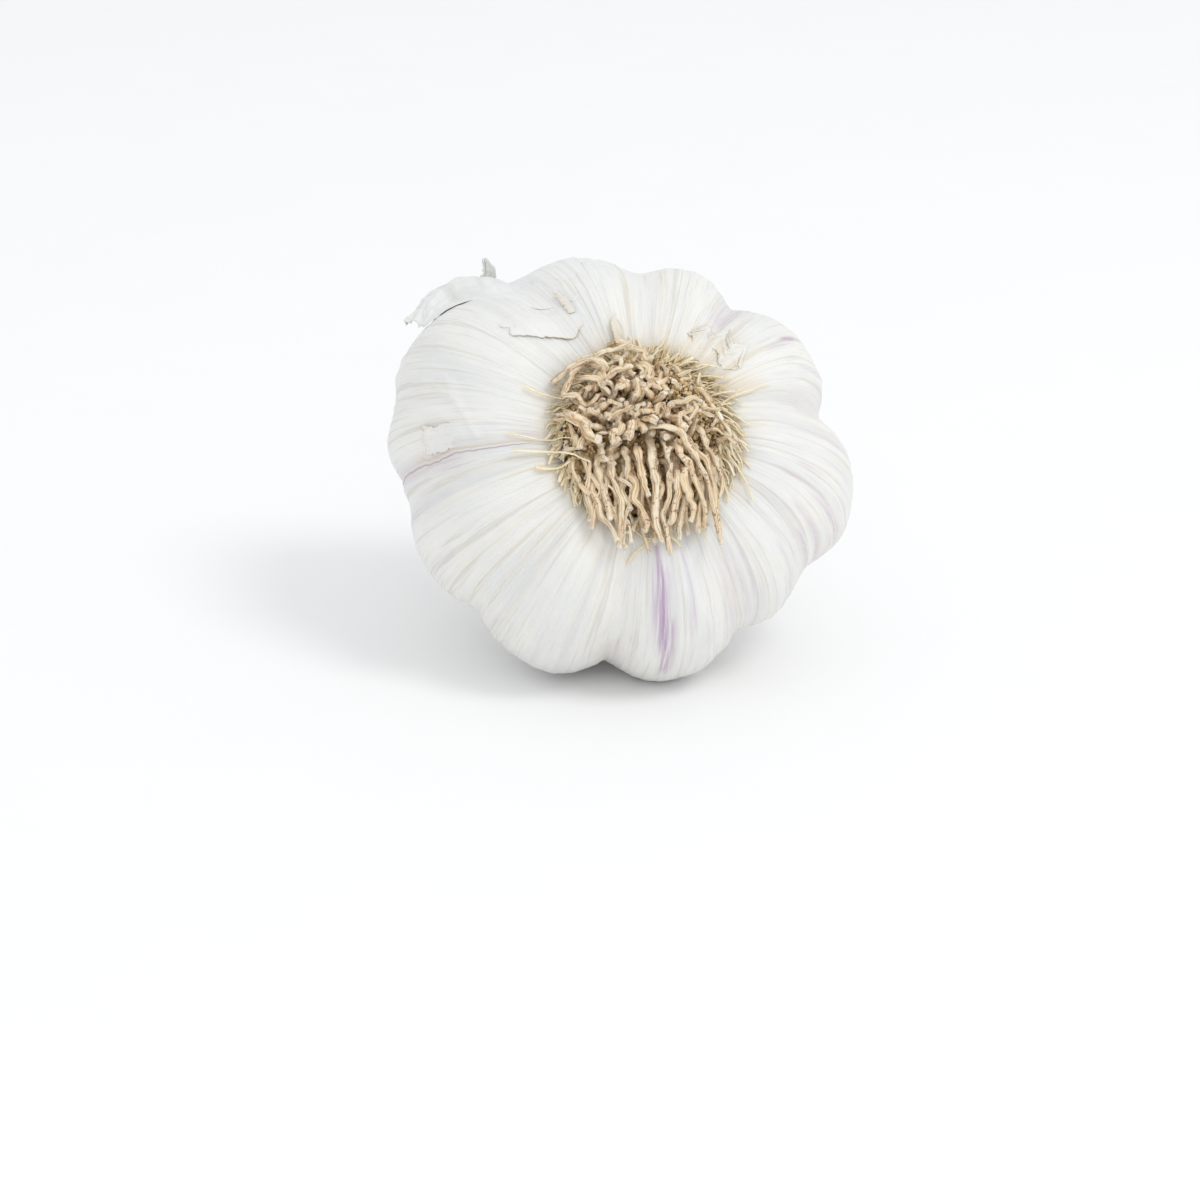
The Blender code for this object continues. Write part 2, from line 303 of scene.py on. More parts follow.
def skinShape(angle, s):
    # u, v, w of the skin at an angle and a distance s from the rim
    t = np.interp(s, sSamples, tSamples)
    r, w, shown = outline(t)
    lobe = cloveReach(angle) / bulb["meanReach"] - 1
    swell = smoothStep(0, 0.12, t) * (1 - smoothStep(0.16, 0.34, t))
    r = r * (1 + lobe * (0.15 * (1 - smoothStep(0.6, 0.9, t)) * smoothStep(0, 0.1, t) + 0.85 * shown))
    broad, fold = creaseDepth(angle)
    inward = broad * shown + fold * smoothStep(0.02, 0.2, t) * (1 - smoothStep(0.6, 0.85, t))
    r = r - inward * (0.35 + 0.65 * smoothStep(0.05, 0.3, t))
    w = w + swell * (lobe * 11 - inward * 0.4)
    return np.stack([r * np.cos(angle), r * np.sin(angle), w], axis=-1)


def skinNormal(angle, s):
    step = 0.4
    along = skinShape(angle, np.minimum(s + step, skinLength)) - skinShape(angle, np.maximum(s - step, 0))
    turned = skinShape(angle + 0.01, s) - skinShape(angle - 0.01, s)
    across = np.cross(along, turned)
    return across / np.linalg.norm(across, axis=-1, keepdims=True)


def overSkin(angle, s, lift):
    angle, s, lift = np.broadcast_arrays(*(np.asarray(part, float) for part in (angle, s, lift)))
    return skinShape(angle, s) + skinNormal(angle, s) * lift[..., None]


rolled = Matrix.Rotation(bulb["axisRoll"], 3, "Z")
lay = np.array(Matrix.Rotation(pi / 2 - bulb["axisElevation"], 3, "X") @ rolled)


def findOffset():
    # where the CAD put the bulb: its widest points and its top tell the shift from the bulb's own frame
    angle, s = np.meshgrid(np.linspace(0, tau, 361), np.linspace(0, skinLength, 161))
    points = skinShape(angle, s).reshape(-1, 3) @ lay.T * mm
    low, high = (np.array(corner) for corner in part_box("wrapped_bulb"))
    shift = (low + high - points.min(0) - points.max(0)) / 2
    shift[2] = high[2] - points[:, 2].max()
    return shift


offset = findOffset()


def toRoom(points):
    return np.asarray(points) @ lay.T * mm + offset


def fibreBend(angle, s):
    # the skin's fibres run straight from the roots, except on the right, where they sag towards the table
    return angle + 0.009 * np.minimum(s, 34) * np.maximum(0, np.cos(angle + 0.26)) ** 2


def fibreAttribute(angle, s):
    # a place along and across the fibres
    bend = fibreBend(angle, s)
    return np.stack([28.5 * np.cos(bend), 28.5 * np.sin(bend), s], axis=-1)


def gridFaces(rows, columns, wrap):
    faces = []
    for i in range(rows - 1):
        for j in range(columns if wrap else columns - 1):
            k = (j + 1) % columns
            faces.append((i * columns + j, i * columns + k, (i + 1) * columns + k, (i + 1) * columns + j))
    return faces


# the tight skin over the cloves

# stains that run along the skin's fibres: angle at the rim in degrees, first and last distance from the rim,
# half width, strength
mauveStreaks = [
    (273, 2, 9, 0.5, 0.8), (274, 5, 22, 1.0, 1.0), (275.5, 13, 28, 0.95, 0.9), (271, 6, 18, 0.35, 0.35),
    (285, 3, 22, 0.35, 0.5), (283, 10, 26, 0.3, 0.35), (291, 8, 22, 0.3, 0.2), (240, 16, 30, 1.0, 0.16),
    (306, 6, 26, 0.8, 0.22), (309, 8, 20, 0.3, 0.3), (322, 12, 34, 0.5, 0.4), (330, 14, 28, 0.35, 0.6),
    (336, 10, 30, 0.3, 0.5), (341, 12, 28, 0.35, 0.6), (345, 6, 20, 0.25, 0.55), (350, 8, 16, 0.3, 0.45),
    (357, 6, 22, 0.3, 0.25), (3, 9, 24, 0.3, 0.35), (34, 13, 21, 0.42, 1.0), (33, 10, 17, 0.25, 0.6),
    (37, 9, 15, 0.25, 0.4), (52, 10, 27, 0.7, 0.3), (55, 6, 24, 0.3, 0.35), (62, 12, 28, 0.4, 0.22),
    (182, 12, 34, 0.8, 0.35), (176, 2, 7, 0.3, 0.6), (191, 14, 34, 0.6, 0.2),
    (172, 3, 6.5, 0.5, 0.5), (175, 2.5, 5.5, 0.4, 0.5), (206, 18, 34, 0.8, 0.2), (226, 22, 36, 0.9, 0.25),
    (86, 18, 34, 0.7, 0.15), (24, 14, 30, 0.3, 0.35), (260, 20, 36, 0.6, 0.25), (298, 16, 36, 0.8, 0.3),
    (130, 30, 52, 0.8, 0.35), (20, 34, 60, 0.9, 0.4), (70, 36, 62, 0.8, 0.45), (158, 34, 60, 0.8, 0.4),
    (204, 36, 62, 1.0, 0.5), (250, 38, 62, 0.7, 0.4), (318, 36, 62, 0.9, 0.45),
]
creamStreaks = [
    (60, 0, 10, 1.8, 0.9), (44, 0, 12, 2.6, 1.0), (26, 0, 9, 2.0, 0.9), (78, 0, 9, 1.4, 0.8),
    (100, 0, 7, 1.8, 0.7), (112, 0, 8, 1.2, 0.6), (8, 0, 9, 1.4, 0.7), (352, 0, 6, 1.4, 0.5),
    (330, 0, 8, 1.6, 0.6), (300, 0, 7, 1.0, 0.5),
    (238, 0, 9, 0.9, 0.4), (222, 2, 26, 0.5, 0.5), (229, 2, 28, 0.35, 0.45), (235, 3, 28, 0.3, 0.4),
    (246, 3, 26, 0.35, 0.45), (251, 3, 28, 0.25, 0.4), (257, 2, 30, 0.4, 0.5), (211, 4, 28, 0.35, 0.45),
    (217, 4, 28, 0.25, 0.4), (194, 2, 24, 0.4, 0.5), (187, 3, 26, 0.3, 0.4), (178, 0, 24, 0.4, 0.9),
    (160, 12, 24, 0.3, 0.35), (170, 8, 20, 0.3, 0.4), (90, 4, 26, 0.4, 0.35), (76, 6, 28, 0.4, 0.4),
    (66, 4, 26, 0.3, 0.45),
    (48, 6, 26, 0.3, 0.4), (38, 4, 24, 0.4, 0.35), (302, 6, 26, 0.35, 0.35), (314, 5, 26, 0.3, 0.3),
    (340, 4, 30, 0.35, 0.35), (14, 2, 26, 0.4, 0.4), (20, 4, 22, 0.25, 0.4),
]


def streakAttribute(streaks, angle, s, fibre):
    bend = np.arctan2(fibre[..., 1], fibre[..., 0])
    total = np.zeros(angle.shape)
    for degrees, first, last, width, strength in streaks:
        start = fibreBend(radians(degrees), first)
        reach = np.minimum(28.5, 10 + s)
        aside = turnFrom(bend, np.degrees(start)) * reach
        fade = smoothStep(first, first + 3, s) * (1 - smoothStep(last - 5, last, s))
        total += strength * fade * np.exp(-((aside / width) ** 2))
    return np.minimum(total, 1)


def makeSkinTree():
    inputs = [("Rib Height", "Float", 0.0), ("Fine Height", "Float", 0.0), ("Crumple", "Float", 0.0),
              ("Material", "Material", None)]
    tree, sheet, ports = geometryTree("tunicRelief", inputs)
    fibre = sheet.add("GeometryNodeInputNamedAttribute", {"data_type": "FLOAT_VECTOR"}, ["fibre"])
    share = sheet.add("GeometryNodeInputNamedAttribute", {"data_type": "FLOAT"}, ["relief"])
    ribs = sheet.noise(sheet.stretch(fibre, 0.62, 0.62, 0.03), 1.0, 1.5, 0.55)
    fine = sheet.noise(sheet.stretch(fibre, 1.5, 1.5, 0.05), 1.0, 1.0, 0.5, 0.2)
    crumple = sheet.noise(sheet.stretch(fibre, 0.13, 0.13, 0.10), 1.0, 3.0, 0.55, 0.4)
    height = (ribs - 0.5) * ports["Rib Height"] + (fine - 0.5) * ports["Fine Height"]
    height = (height + (crumple - 0.5) * ports["Crumple"]) * share
    normal = sheet.add("GeometryNodeInputNormal")
    push = sheet.add("ShaderNodeVectorMath", {"operation": "SCALE"}, {"Vector": normal, "Scale": height})
    geometry = sheet.add("GeometryNodeSetPosition", {}, {"Geometry": ports["Geometry"], "Offset": push})
    endTree(sheet, geometry, ports["Material"])
    return tree


tunicRelief = makeSkinTree()


# fine lines: angle in degrees, first and last distance from the rim, half width, strength, colour
thinLines = [
    (180.6, 3.0, 40.0, 0.20, 0.60, (0.42, 0.29, 0.33)),
    (179.2, 0.5, 24.0, 0.28, 0.45, (0.66, 0.50, 0.32)),
    (273.8, 3.0, 28.0, 0.26, 0.35, (0.42, 0.24, 0.44)),
]


def makeSkinMaterial(name, white, cool, look):
    fixed = {"Subsurface Weight": look["subsurface"], "Subsurface Radius": (1.0, 0.8, 0.6),
             "Subsurface Scale": 2 * mm, "Specular IOR Level": 0.42}
    material, sheet, shader = newMaterial(name, fixed)
    fibre = sheet.attribute("fibre", vector=True)
    mauve = sheet.attribute("mauve")
    cream = sheet.attribute("cream")
    hollow = sheet.attribute("hollow")
    hair = sheet.noise(sheet.stretch(fibre, 3.2, 3.2, 0.10), 1.0, 2.0, 0.6, 0.15)
    vein = sheet.noise(sheet.stretch(fibre, 1.1, 1.1, 0.035), 1.0, 3.0, 0.62, 0.25)
    band = sheet.noise(sheet.stretch(fibre, 0.32, 0.32, 0.02), 1.0, 2.0, 0.5, 0.3)
    patch = sheet.noise(sheet.stretch(fibre, 0.10, 0.10, 0.09), 1.0, 3.0, 0.55)
    tone = sheet.mix(sheet.step(patch, 0.35, 0.68), white, cool)
    tone = sheet.mix(sheet.step(band, 0.50, 0.72) * look["bands"], tone, look["greyBand"])
    tone = sheet.mix(sheet.step(vein, 0.54, 0.66) * look["veins"], tone, look["veinColour"])
    hairy = sheet.step(hair, 0.56, 0.74) * sheet.step(patch, 0.60, 0.40, 0.35, 1.0)
    tone = sheet.mix(hairy * look["hairs"], tone, look["hairColour"])
    fringed = cream * sheet.step(vein, 0.36, 0.58, 0.25, 1.0)
    tone = sheet.mix(fringed * look["cream"], tone, look["creamColour"])
    # pink tint with painted shade: the skin is tinted pink and darkened in the crease hollows between the
    # cloves
    creaseShadeBlush = hollow * sheet.step(band, 0.40, 0.62) * look["creaseShadeBlush"]
    tone = sheet.mix(creaseShadeBlush, tone, look["creaseShadeBlushColour"])
    spot = sheet.attribute("spot", vector=True)
    for degrees, first, last, width, strength, colour in thinLines:
        x, y = cos(radians(degrees)), sin(radians(degrees))
        aside = sheet.add("ShaderNodeVectorMath", {"operation": "DOT_PRODUCT"}, [spot, (-y, x, 0)], "Value")
        ahead = sheet.add("ShaderNodeVectorMath", {"operation": "DOT_PRODUCT"}, [spot, (x, y, 0)], "Value")
        down = sheet.add("ShaderNodeSeparateXYZ", {}, [spot], "Z")
        waver = (sheet.noise(sheet.stretch(spot, 0.05, 0.05, 0.30), 1.0, 2.0) - 0.5) * 1.6
        gap = sheet.add("ShaderNodeMath", {"operation": "ABSOLUTE"}, [aside + waver])
        drawn = sheet.step(gap, width * 0.35, width, strength, 0.0) * sheet.step(ahead, 0.0, 3.0)
        drawn = drawn * sheet.step(down, first, first + 2.0) * sheet.step(down, last - 5.0, last, 1.0, 0.0)
        tone = sheet.mix(drawn, tone, colour)
    mottle = sheet.noise(sheet.stretch(fibre, 2.2, 2.2, 0.12), 1.0, 2.0, 0.6)
    stained = mauve * sheet.step(mottle, 0.33, 0.62, 0.2, 1.0)
    tone = sheet.mix(stained * look["mauve"], tone, look["mauveColour"])
    sheet.fill(shader, {
        "Base Color": tone,
        "Roughness": sheet.step(vein + hair * 0.5, 0.5, 1.1, look["gloss"], look["gloss"] + 0.16),
        "Normal": sheet.bump(hair + vein * 1.6, 0.12 * mm, look["bump"]),
    })
    return material


skinLook = {
    "subsurface": 0.12,
    "bands": 0.38, "greyBand": (0.65, 0.655, 0.65),
    "veins": 0.54, "veinColour": (0.64, 0.60, 0.53),
    "hairs": 0.40, "hairColour": (0.58, 0.55, 0.50),
    "cream": 0.46, "creamColour": (0.78, 0.64, 0.42),
    # the crease colour is a pink tint and painted shade in the hollows
    "creaseShadeBlush": 0.30, "creaseShadeBlushColour": (0.66, 0.56, 0.58),
    "mauve": 0.72, "mauveColour": (0.40, 0.22, 0.42),
    "gloss": 0.38, "bump": 0.9,
}


# creases that cross the fibres: places (angle, distance from the rim), height and half width in millimetres
folds = [
    ([(151, 27), (154, 20.5), (155, 17.2), (157, 15.2), (161, 13.8), (165, 12.2)], 0.16, 0.55),
    ([(158, 22), (159, 17), (162, 14.2), (166, 12.2), (170, 10.8), (176, 10)], 0.18, 0.40),
    ([(146, 22), (147, 14), (148, 9.2), (146, 6.5)], 0.14, 0.50),
    ([(149, 24), (150, 17), (152, 12), (153, 7)], 0.14, 0.55),
    ([(163, 26), (165, 19), (168, 14.5)], 0.12, 0.55),
    ([(115, 20), (112, 15), (107, 11.5), (102, 10)], 0.14, 0.60),
    ([(104, 24), (101, 18), (100, 13)], 0.16, 0.50),
    ([(22, 26), (18, 20), (17, 13)], 0.12, 0.50),
    ([(352, 22), (349, 17), (350, 12)], 0.12, 0.45),
    ([(229, 28), (232, 22), (231, 16)], 0.10, 0.50),
    ([(305, 28), (307, 21), (312, 16)], 0.12, 0.50),
    ([(60, 40), (70, 36), (82, 38)], 0.20, 0.60),
    ([(200, 44), (210, 40), (224, 42)], 0.20, 0.60),
]


def foldHeight(angle, s):
    reach = np.interp(s, sSamples, rSamples)
    total = np.zeros(angle.shape)
    for places, height, width in folds:
        nearest = np.full(angle.shape, 1e3)
        for (fromDegrees, fromS), (toDegrees, toS) in zip(places, places[1:]):
            x = turnFrom(angle, fromDegrees) * reach
            y = s - fromS
            runX, runY = radians(toDegrees - fromDegrees) * reach, toS - fromS
            share = np.clip((x * runX + y * runY) / (runX**2 + runY**2), 0, 1)
            nearest = np.minimum(nearest, np.hypot(x - share * runX, y - share * runY))
        total += height * np.exp(-((nearest / width) ** 2))
    return total


skinRelief = {"Rib Height": 0.44 * mm, "Fine Height": 0.12 * mm, "Crumple": 0.9 * mm}


def makeBulb():
    columns, rows = bulb["columns"], bulb["rows"]
    angles = np.linspace(0, tau, columns, endpoint=False)
    lengths = np.linspace(0, skinLength, rows)
    angle, s = np.meshgrid(angles, lengths)
    points = skinShape(angle, s)
    t = np.interp(s, sSamples, tSamples)
    flat = points.reshape(-1, 3)
    outwards = skinNormal(angle, s).reshape(-1, 3)
    ring = np.stack([np.cos(angle), np.sin(angle), s * 0.012], -1).reshape(-1, 3)
    # slow unevenness of the cloves, pleats where the skin is gathered at the rim, and folds down the neck
    body = (smoothStep(0.02, 0.14, t) * (1 - smoothStep(0.7, 0.9, t))).ravel()
    uneven = noiseAt(flat, 0.085, 3.0) * 0.55 * body
    pleats = noiseAt(ring, 7.5, 9.0) * 0.28 * (1 - smoothStep(1.0, 8.0, s)).ravel()
    neck = (smoothStep(0.55, 0.80, t) * (1 - 0.3 * smoothStep(0.9, 1.0, t))).ravel()
    neckFolds = noiseAt(ring, 3.2, 5.0) * 1.1 * neck
    fineFolds = noiseAt(ring, 8.5, 7.0) * 0.5 * smoothStep(0.62, 0.85, t).ravel()
    wrinkles = foldHeight(angle, s).ravel()
    flat = flat + outwards * (uneven + pleats + neckFolds + fineFolds + wrinkles)[:, None]

    def ringPoints(r, w):
        return np.stack([r * np.cos(angles), r * np.sin(angles), np.full(columns, w)], -1)

    last = flat[-columns:]
    recess = [ringPoints(0.6 * bulb["recess"][0], bulb["recess"][1]), ringPoints(*bulb["recess"])]
    lip = last * [0.93, 0.93, 1.0]
    inner = last * [0.86, 0.86, 1.0] + [0, 0, 3.0]
    points = np.concatenate([recess[0], recess[1], flat, lip, inner])
    rowsAll = rows + 4
    faces = gridFaces(rowsAll, columns, True)
    poles = np.array([[0, 0, bulb["recess"][1]], [0, 0, inner[:, 2].mean()]])
    top, bottom = len(points), len(points) + 1
    faces += [(top, (j + 1) % columns, j) for j in range(columns)]
    base = (rowsAll - 1) * columns
    faces += [(bottom, base + j, base + (j + 1) % columns) for j in range(columns)]
    faces = [face[::-1] for face in faces]
    points = np.concatenate([points, poles])

    def withEnds(values):
        # the same value for the recess and the neck's hollow as on the skin's first and last ring
        values = values.reshape(rows, columns, -1)
        full = np.concatenate([values[:1], values[:1], values, values[-1:], values[-1:]])
        full = full.reshape(rowsAll * columns, -1)
        full = np.concatenate([full, full[:1], full[-1:]])
        return full if full.shape[1] > 1 else full[:, 0]

    fibre = fibreAttribute(angle, s)
    broad, _ = creaseDepth(angle)
    shown = smoothStep(4, 16, s) * (1 - smoothStep(40, 62, s))
    rimCream = (1 - smoothStep(0.3, 4.5, s)) * 0.75 + 0.8 * smoothStep(56, 70, s)
    attributes = {
        "fibre": withEnds(fibre),
        "spot": withEnds(np.stack([28.5 * np.cos(angle), 28.5 * np.sin(angle), s], axis=-1)),
        "relief": withEnds(smoothStep(0.5, 3.0, s) * (1 - 0.4 * smoothStep(50, 60, s))),
        "mauve": withEnds(streakAttribute(mauveStreaks, angle, s, fibre)),
        "cream": withEnds(np.minimum(1, streakAttribute(creamStreaks, angle, s, fibre) + rimCream)),
        # hollow: how deep the creases run, the mask for the pink tint and painted shade in them
        "hollow": withEnds(np.minimum(1, broad / 1.2) * shown),
    }
    obj = meshObject("bulb_skin", toRoom(points), faces, attributes)
    material = makeSkinMaterial("tightSkin", (0.835, 0.828, 0.79), (0.795, 0.80, 0.79), skinLook)
    obj = bakeTree(obj, tunicRelief, dict(skinRelief, Material=material))
    flatten(obj)
    obj.data.shade_smooth()
    return show(obj, "tight_skin", "wrapped_bulb")


def flatten(obj):
    # where it would go through the table, the skin is pressed flat
    count = len(obj.data.vertices)
    places = np.empty(count * 3, np.float32)
    obj.data.vertices.foreach_get("co", places)
    places = places.reshape(-1, 3)
    places[:, 2] = np.maximum(places[:, 2], 0.0)
    obj.data.vertices.foreach_set("co", places.ravel())
    obj.data.update()


makeBulb()


# torn outer skins

tornLook = dict(skinLook, subsurface=0.0, bands=0.25, veins=0.26, hairs=0.25, gloss=0.42, bump=0.6, mauve=0.4,
                creamColour=(0.74, 0.58, 0.34), cream=0.6)
tornRelief = {"Rib Height": 0.16 * mm, "Fine Height": 0.05 * mm, "Crumple": 0.2 * mm}
tornMaterial = makeSkinMaterial("tornSkin", (0.83, 0.825, 0.80), (0.79, 0.795, 0.79), tornLook)


def jag(x, size, seed):
    # a torn edge: slow wander with small nicks
    slow = noiseAt(np.stack([x, x * 0, x * 0], -1), 2.6, seed)
    nicks = noiseAt(np.stack([x, x * 0, x * 0], -1), 11.0, seed + 20)
    tiny = noiseAt(np.stack([x, x * 0, x * 0], -1), 34.0, seed + 40)
    return size * (slow + 0.45 * nicks + 0.2 * tiny)


def makeSheet(name, spec, *nodes):
    # a thin sheet over the skin: edges and lift are functions of its own places across and along, both 0 to 1
    columns, rows = spec["grid"]
    across, along = np.meshgrid(np.linspace(0, 1, columns), np.linspace(0, 1, rows))
    line = np.linspace(0, 1, columns)
    side = np.linspace(0, 1, rows)
    near = spec["near"](line) + jag(line, spec["ragged"], spec["seed"])
    far = spec["far"](line) + jag(line, spec["ragged"], spec["seed"] + 5)
    left = jag(side, spec["ragged"] / 28, spec["seed"] + 9)
    right = jag(side, spec["ragged"] / 28, spec["seed"] + 13)
    s = near[None, :] + (far - near)[None, :] * along
    first, last = spec["angles"]
    angle = np.radians(first + (last - first) * across)
    angle += left[:, None] * (1 - across) + right[:, None] * across
    lift = spec["lift"](across, along)
    flat = np.stack([across * spec["size"][0], along * spec["size"][1], across * 0], -1).reshape(-1, 3)
    crumple = spec["crumple"](across, along) * (
        noiseAt(flat, 0.22, spec["seed"]) + 0.45 * noiseAt(flat, 0.6, spec["seed"] + 3)
    ).reshape(rows, columns)
    lift = np.maximum(lift + crumple, spec["least"])
    points = overSkin(angle, np.clip(s, 0, skinLength), lift).reshape(-1, 3)
    fibre = fibreAttribute(angle, s)
    attributes = {
        "fibre": fibre.reshape(-1, 3),
        "spot": np.zeros(points.shape),
        "relief": np.full(points.shape[0], 0.6),
        "mauve": streakAttribute(mauveStreaks, angle, s, fibre).ravel() * 0.5,
        "cream": np.minimum(1, spec["cream"](across, along)).ravel(),
        "hollow": np.zeros(points.shape[0]),
    }
    obj = meshObject(name, toRoom(points), [f[::-1] for f in gridFaces(rows, columns, False)], attributes)
    obj = bakeTree(obj, tunicRelief, dict(tornRelief, Material=tornMaterial))
    wall = obj.modifiers.new("sheet", "SOLIDIFY")
    wall.thickness = spec["thickness"] * mm
    wall.offset = 0.0
    obj.data.shade_smooth()
    return show(obj, "loose_skin", *nodes)


def sprungLift(across, along):
    # highest at its far edge, and a little lower again at its torn end
    height = 5.7 - 3.0 * smoothStep(0.72, 1.0, across)
    return 0.14 + height * smoothStep(0.30, 1.0, along) * smoothStep(0.1, 0.6, across)


def spread(values):
    # a curve through evenly spaced values
    return lambda x: np.interp(x, np.linspace(0, 1, len(values)), values)


# the big torn skin over the top clove: near the plate at its right, and far round the next clove at its left,
# where it springs up and shows behind the bulb's outline
bigSheet = {
    "angles": (101, 142), "grid": (140, 110), "size": (30, 36), "seed": 11.0, "ragged": 0.8, "thickness": 0.07,
    "near": spread([12.5, 10.5, 10.0, 11.0, 12.5, 13.5, 16.0, 20.0, 22.0, 23.5]),
    "far": spread([42, 43, 42, 38, 36, 35, 34, 33, 32, 30]),
    "lift": sprungLift,
    "least": 0.07,
    "crumple": lambda a, b: 0.05 + 0.8 * smoothStep(0.3, 0.6, a) * smoothStep(0.25, 0.6, b),
    "cream": lambda a, b: 0.25 * smoothStep(0.6, 1.0, b),
}
# crumpled film between the plate and the torn edge
filmSheet = {
    "angles": (112, 137), "grid": (90, 70), "size": (9, 8), "seed": 37.0, "ragged": 0.7, "thickness": 0.05,
    "near": spread([6.5, 5.8, 6.0, 7.0, 8.6]),
    "far": spread([12.6, 13.4, 13.8, 14.6, 11.0]),
    "lift": lambda a, b: 0.05 + 0.34 * np.sin(pi * a) * np.sin(pi * b),
    "least": 0.03,
    "crumple": lambda a, b: 0.30 * np.sin(pi * a) * smoothStep(0.0, 0.3, b),
    "cream": lambda a, b: 0.10 + 0.75 * smoothStep(0.06, 0.0, b),
}
upperScrap = {
    "angles": (33, 61), "grid": (100, 60), "size": (12, 7), "seed": 51.0, "ragged": 1.5, "thickness": 0.04,
    "near": spread([5.0, 4.6, 5.4, 4.6, 5.0]),
    "far": spread([5.8, 9.0, 7.4, 10.4, 8.2, 9.8, 5.8]),
    "lift": lambda a, b: 0.12 + 0.40 * smoothStep(0.6, 1.0, b) * np.sin(pi * a) ** 2,
    "least": 0.04,
    "crumple": lambda a, b: 0.16 + 0.1 * b,
    "cream": lambda a, b: 0.85 - 0.5 * b,
}
leftPatch = {
    "angles": (171.5, 178.5), "grid": (60, 60), "size": (6, 6), "seed": 63.0, "ragged": 0.7, "thickness": 0.04,
    "near": spread([12.6, 12.8, 13.0]),
    "far": spread([17.6, 17.8, 18.2]),
    "lift": lambda a, b: 0.07 + 0.16 * smoothStep(0.6, 1.0, b) * smoothStep(0.8, 0.2, a),
    "least": 0.03,
    "crumple": lambda a, b: 0.06 + 0 * a,
    "cream": lambda a, b: 0.15 + 0.3 * smoothStep(0.8, 1.0, b),
}
topFlakes = {
    "angles": (96, 101), "grid": (24, 40), "size": (2, 6), "seed": 71.0, "ragged": 0.4, "thickness": 0.05,
    "near": spread([1.5, 1.0, 1.6]),
    "far": spread([4.6, 6.2, 5.0]),
    "lift": lambda a, b: 0.25 + 0.5 * b,
    "least": 0.10,
    "crumple": lambda a, b: 0.16 + 0 * a,
    "cream": lambda a, b: 0.7 + 0 * a,
}
tanFlake = dict(topFlakes, angles=(112, 114.5), near=spread([8.6, 9.0]), far=spread([12.6, 13.2]), seed=77.0)
splinter = {
    "angles": (125.0, 117.5), "grid": (44, 70), "size": (3, 9), "seed": 83.0, "ragged": 0.5, "thickness": 0.07,
    "near": spread([32.6, 33.0, 32.8]),
    "far": spread([30.2, 29.6, 31.0]),
    "lift": lambda a, b: 2.6 + 4.6 * b * (1 - 0.45 * smoothStep(0.25, 0.55, a)),
    "least": 0.5,
    "crumple": lambda a, b: 0.14 + 0 * a,
    "cream": lambda a, b: 0 * a,
}

makeSheet("torn_skin_back", bigSheet, "loose_skin_torn_back")
makeSheet("torn_film", filmSheet, "loose_skin_torn_back")
makeSheet("torn_scrap_right", upperScrap, "loose_skin_upper_right")
makeSheet("torn_patch_left", leftPatch, "loose_skin_left_patch")
makeSheet("torn_flake_top", topFlakes, "loose_skin_upper_right")
makeSheet("torn_flake_tan", tanFlake, "loose_skin_torn_back")
makeSheet("torn_splinter", splinter, "loose_skin_splinter")

# dry leaf sheaths and the cut stalk inside the neck: radius, first and last height, waviness
sheaths = [(4.7, -32.4, -36.0, 0.55), (3.7, -32.2, -35.5, 0.60), (2.8, -32.0, -36.1, 0.50)]
stalk = {"radius": 1.7, "foot": -31.5, "top": -35.0}


def makeNeck():
    for number, (radius, foot, top, wave) in enumerate(sheaths):
        columns, rows = 120, 12
        angle, share = np.meshgrid(np.linspace(0, tau, columns, endpoint=False), np.linspace(0, 1, rows))
        ring = np.stack([np.cos(angle), np.sin(angle), share * 0.3], -1).reshape(-1, 3)
        r = radius + wave * noiseAt(ring, 2.2, 3.0 + number * 7)
        r += 0.35 * wave * noiseAt(ring, 7.0, 11.0 + number)
        end = top + 0.5 * noiseAt(ring, 5.0, 20.0 + number)
        w = foot + (end - foot) * share.ravel()
        points = np.stack([r * np.cos(angle.ravel()), r * np.sin(angle.ravel()), w], -1)
        fibre = np.stack([28.5 * np.cos(angle), 28.5 * np.sin(angle), 60 + share * 4], -1).reshape(-1, 3)
        count = len(points)
        attributes = {"fibre": fibre, "spot": np.zeros(points.shape), "mauve": np.zeros(count),
                      "cream": 0.5 + 0.5 * share.ravel(), "hollow": np.zeros(count)}
        faces = gridFaces(rows, columns, True)
        obj = meshObject("neck_sheath_%d" % (number + 1), toRoom(points), faces, attributes)
        obj.data.materials.append(tornMaterial)
        wall = obj.modifiers.new("sheet", "SOLIDIFY")
        wall.thickness = 0.10 * mm
        show(obj, "tight_skin", "wrapped_bulb")
    # the stalk is a bundle of dry fibres
    columns, rows = 40, 9
    angle, share = np.meshgrid(np.linspace(0, tau, columns, endpoint=False), np.linspace(0, 1, rows))
    r = stalk["radius"] * np.minimum(1, (1 - share) * 4 + 0.05)
    w = stalk["foot"] + (stalk["top"] - stalk["foot"]) * np.minimum(1, share * 1.35)
    points = np.stack([r * np.cos(angle), r * np.sin(angle), w], -1).reshape(-1, 3)
    rough = noiseAt(points * [1, 1, 0.2], 1.6, 5.0)
    points[:, :2] *= (1 + 0.16 * rough)[:, None]
    points[:, 2] += 0.35 * rough
    faces = gridFaces(rows, columns, True) + [tuple(range(columns))[::-1]]
    faces.append(tuple((rows - 1) * columns + j for j in range(columns)))
    fibre = np.stack([28.5 * np.cos(angle), 28.5 * np.sin(angle), 60 + share * 4], -1).reshape(-1, 3)
    count = len(points)
    attributes = {"fibre": fibre, "spot": np.zeros(points.shape), "mauve": np.zeros(count),
                  "cream": np.ones(count), "hollow": np.zeros(count)}
    obj = meshObject("neck_stalk", toRoom(points), [face[::-1] for face in faces], attributes)
    obj.data.materials.append(tornMaterial)
    show(obj, "tight_skin", "wrapped_bulb")


makeNeck()
print("torn skins and neck done")


# dry roots

plateTop = bulb["plateTop"]


